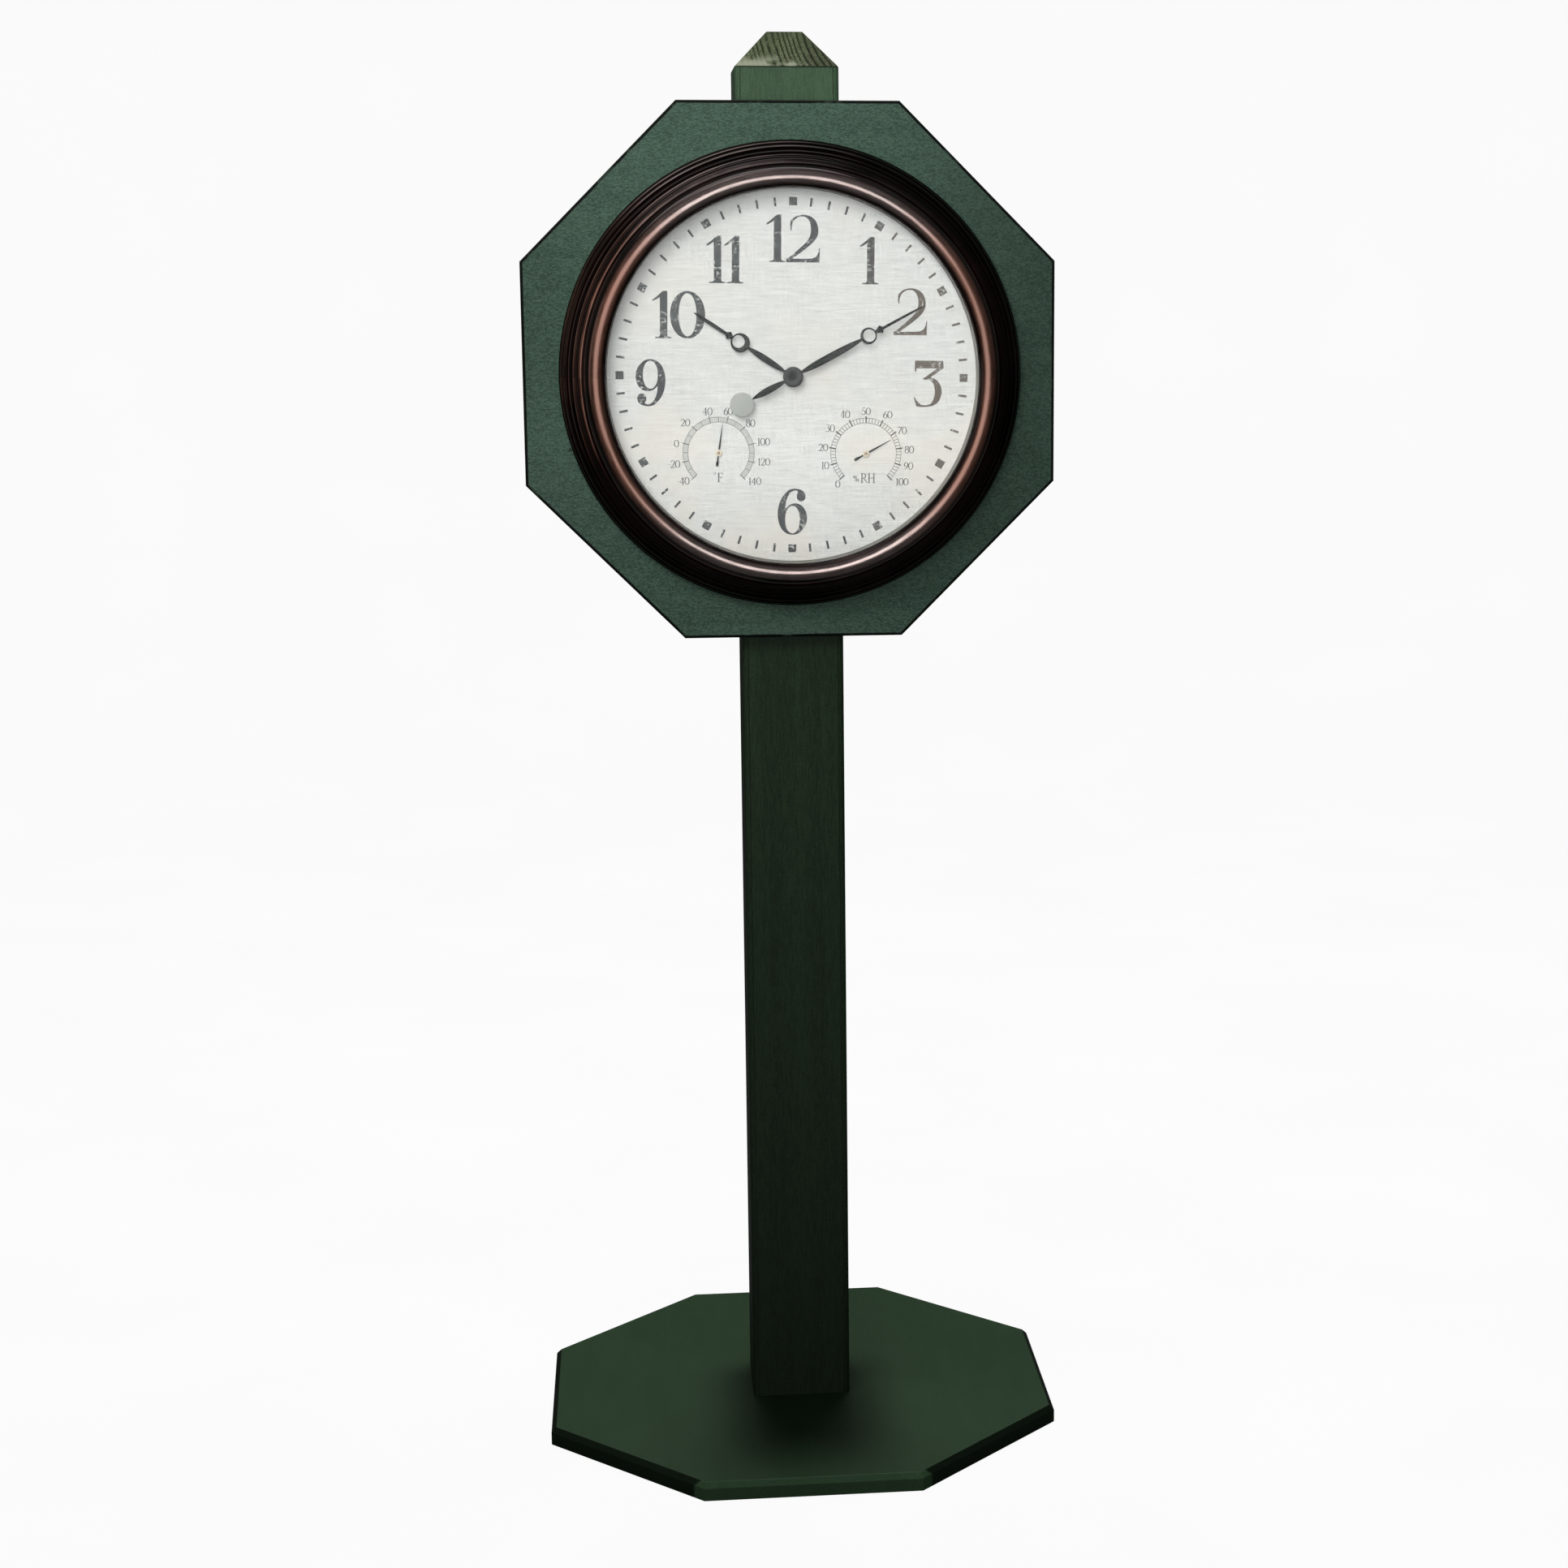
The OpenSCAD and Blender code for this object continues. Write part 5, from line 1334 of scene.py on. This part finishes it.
def floor_material():
    """glows almost white to the camera, and is a dim grey to all other light"""
    mat = Mat("pale_floor")
    path = mat.node("ShaderNodeLightPath")
    seen = Field(mat, path.outputs["Is Camera Ray"])
    length = Field(mat, path.outputs["Ray Length"])
    glow = mat.node("ShaderNodeEmission", Strength=1.0, Color=mat.mix(
        mat.noise(3.0, detail=2).ramp(NOISE),
        (0.945, 0.945, 0.945, 1), (0.955, 0.955, 0.955, 1)))
    matt = mat.node("ShaderNodeBsdfDiffuse", Color=mat.mix(
        seen, (0.16, 0.16, 0.16, 1), (0.028, 0.028, 0.028, 1))).outputs[0]
    both = mat.numbered(mat.node("ShaderNodeAddShader"), (glow.outputs[0], matt)).outputs[0]
    shown = mat.mix_shaders(seen, matt, both)
    # clear from below, and to light that reaches an underside resting on the floor
    below = Field(mat, mat.node("ShaderNodeNewGeometry").outputs["Backfacing"])
    near = length.less_than(0.0008) * (1.0 - seen)
    clear = mat.node("ShaderNodeBsdfTransparent").outputs[0]
    mat.shade_with(mat.mix_shaders(below.max(near), shown, clear))
    return mat


def floor():
    """floor that sweeps up into a wall behind the clock"""
    front, back, half_width, wall_top, sweep, drop = -7.0, 2.6, 9.0, 6.0, 1.2, 0.0002
    profile = [(front, 0.0), (back, 0.0)]
    for degrees in range(6, 91, 6):
        angle = math.radians(degrees)
        profile.append((back + sweep * math.sin(angle), sweep - sweep * math.cos(angle)))
    profile.append((back + sweep, wall_top))
    verts = [(x, y, z - drop) for y, z in profile for x in (-half_width, half_width)]
    faces = [(i, i + 1, i + 3, i + 2) for i in range(0, len(verts) - 2, 2)]
    mesh = bpy.data.meshes.new("floor")
    mesh.from_pydata(verts, [], faces)
    mesh.shade_smooth()
    sheet = bpy.data.objects.new("floor", mesh)
    LINK(sheet)
    mesh.materials.append(floor_material().material)


def studio_world():
    """white surroundings, even to the camera and brighter overhead to everything else"""
    world = bpy.data.worlds.new("studio")
    scene.world = world
    world.use_nodes = True
    nodes, link = world.node_tree.nodes, world.node_tree.links.new
    background = nodes["Background"]
    split = nodes.new("ShaderNodeSeparateXYZ")
    link(nodes.new("ShaderNodeTexCoord").outputs["Generated"], split.inputs[0])
    overhead = nodes.new("ShaderNodeMapRange")
    overhead.interpolation_type = "SMOOTHSTEP"
    link(split.outputs[2], overhead.inputs["Value"])
    for name, value in (("From Min", -0.1), ("From Max", 0.9), ("To Min", 0.08), ("To Max", 0.22)):
        overhead.inputs[name].default_value = value
    # light from well below the horizon
    below = nodes.new("ShaderNodeMath")
    below.operation = "LESS_THAN"
    link(split.outputs[2], below.inputs[0])
    below.inputs[1].default_value = -0.25
    total = nodes.new("ShaderNodeMath")
    link(below.outputs[0], total.inputs[0])
    link(overhead.outputs[0], total.inputs[1])
    strength = nodes.new("ShaderNodeMix")
    strength.data_type = "FLOAT"
    link(nodes.new("ShaderNodeLightPath").outputs["Is Camera Ray"], strength.inputs[0])
    link(total.outputs[0], strength.inputs[2])
    strength.inputs[3].default_value = 0.955
    link(strength.outputs[0], background.inputs[1])
    background.inputs[0].default_value = (1, 1, 1, 1)


def area_light(name, at, target, size, power, tint=(1, 1, 1), spread=180, hidden_from=None):
    light = bpy.data.lights.new(name, "AREA")
    light.spread = math.radians(spread)
    light.shape = "RECTANGLE"
    light.size, light.size_y = size
    light.energy = power
    light.color = tint
    lamp = bpy.data.objects.new(name, light)
    LINK(lamp)
    lamp.location = at
    lamp.rotation_euler = (Vector(target) - Vector(at)).to_track_quat("-Z", "Y").to_euler()
    if hidden_from:
        setattr(lamp, "visible_" + hidden_from, False)


def flag():
    """an unseen sheet that keeps the key light off the foot"""
    left, right, front, back, height = -0.80, 0.20, -1.15, -0.46, 0.90
    mesh = bpy.data.meshes.new("flag")
    mesh.from_pydata([(left, front, height), (right, front, height), (right, back, height),
                      (left, back, height)], [], [(0, 1, 2, 3)])
    sheet = bpy.data.objects.new("flag", mesh)
    LINK(sheet)
    for rays in ("camera", "glossy", "diffuse", "transmission"):
        setattr(sheet, "visible_" + rays, False)
    cloth = Mat("flag_cloth").set(Base_Color=(0.02, 0.02, 0.02, 1), Roughness=1.0)
    mesh.materials.append(cloth.material)


def camera():
    yaw, pitch, roll = 0.1104, 0.1843, -0.0011     # radians; yaw to the right, pitch downwards
    place = (-0.1312985, -2.5186623, 1.0573452)
    lens = bpy.data.cameras.new("camera")
    lens.sensor_fit = "HORIZONTAL"
    lens.sensor_width = 36.0
    lens.lens = 65.0164137
    lens.shift_x = -0.108897671
    lens.shift_y = -0.0034808489
    lens.clip_start = 0.05
    lens.clip_end = 60.0
    viewer = bpy.data.objects.new("camera", lens)
    LINK(viewer)
    forward = Vector((math.sin(yaw) * math.cos(pitch), math.cos(yaw) * math.cos(pitch),
                      -math.sin(pitch)))
    level = Vector((math.cos(yaw), -math.sin(yaw), 0))
    upward = level.cross(forward)
    right = level * math.cos(roll) + upward * math.sin(roll)
    up = -level * math.sin(roll) + upward * math.cos(roll)
    rows = [(right[i], up[i], -forward[i], place[i]) for i in range(3)]
    viewer.matrix_world = Matrix(rows + [(0, 0, 0, 1)])
    scene.camera = viewer


floor()
studio_world()
area_light("key", at=(-0.50, -1.10, 1.72), target=(0, 0, 1.02), size=(0.9, 0.7), power=3.0,
           tint=(1.0, 0.995, 0.985), spread=80, hidden_from="glossy")
area_light("fill", at=(-0.10, -2.60, 1.30), target=(0, 0, 0.95), size=(1.1, 0.9), power=1.1,
           spread=60, hidden_from="glossy")
area_light("front", at=(-0.45, -3.40, 1.20), target=(0, 0, 0.95), size=(2.4, 1.5), power=40.0,
           tint=(0.99, 1.0, 1.0))
area_light("sky", at=(-0.35, 0.35, 2.50), target=(0, -0.1, 0.95), size=(1.7, 1.5), power=18.0,
           tint=(1.0, 0.99, 0.98), hidden_from="diffuse")
area_light("back", at=(0.15, 1.35, 2.10), target=(0, -0.05, 0.0), size=(1.5, 1.0), power=25.0,
           tint=(0.98, 1.0, 0.99))
area_light("left", at=(-2.9, -1.0, 1.3), target=(0, 0, 0.9), size=(1.2, 1.6), power=4.5,
           tint=(1.0, 0.98, 0.96))
area_light("right", at=(2.6, -0.6, 1.2), target=(0, 0, 0.8), size=(1.0, 1.6), power=3.5,
           hidden_from="glossy")
flag()
camera()
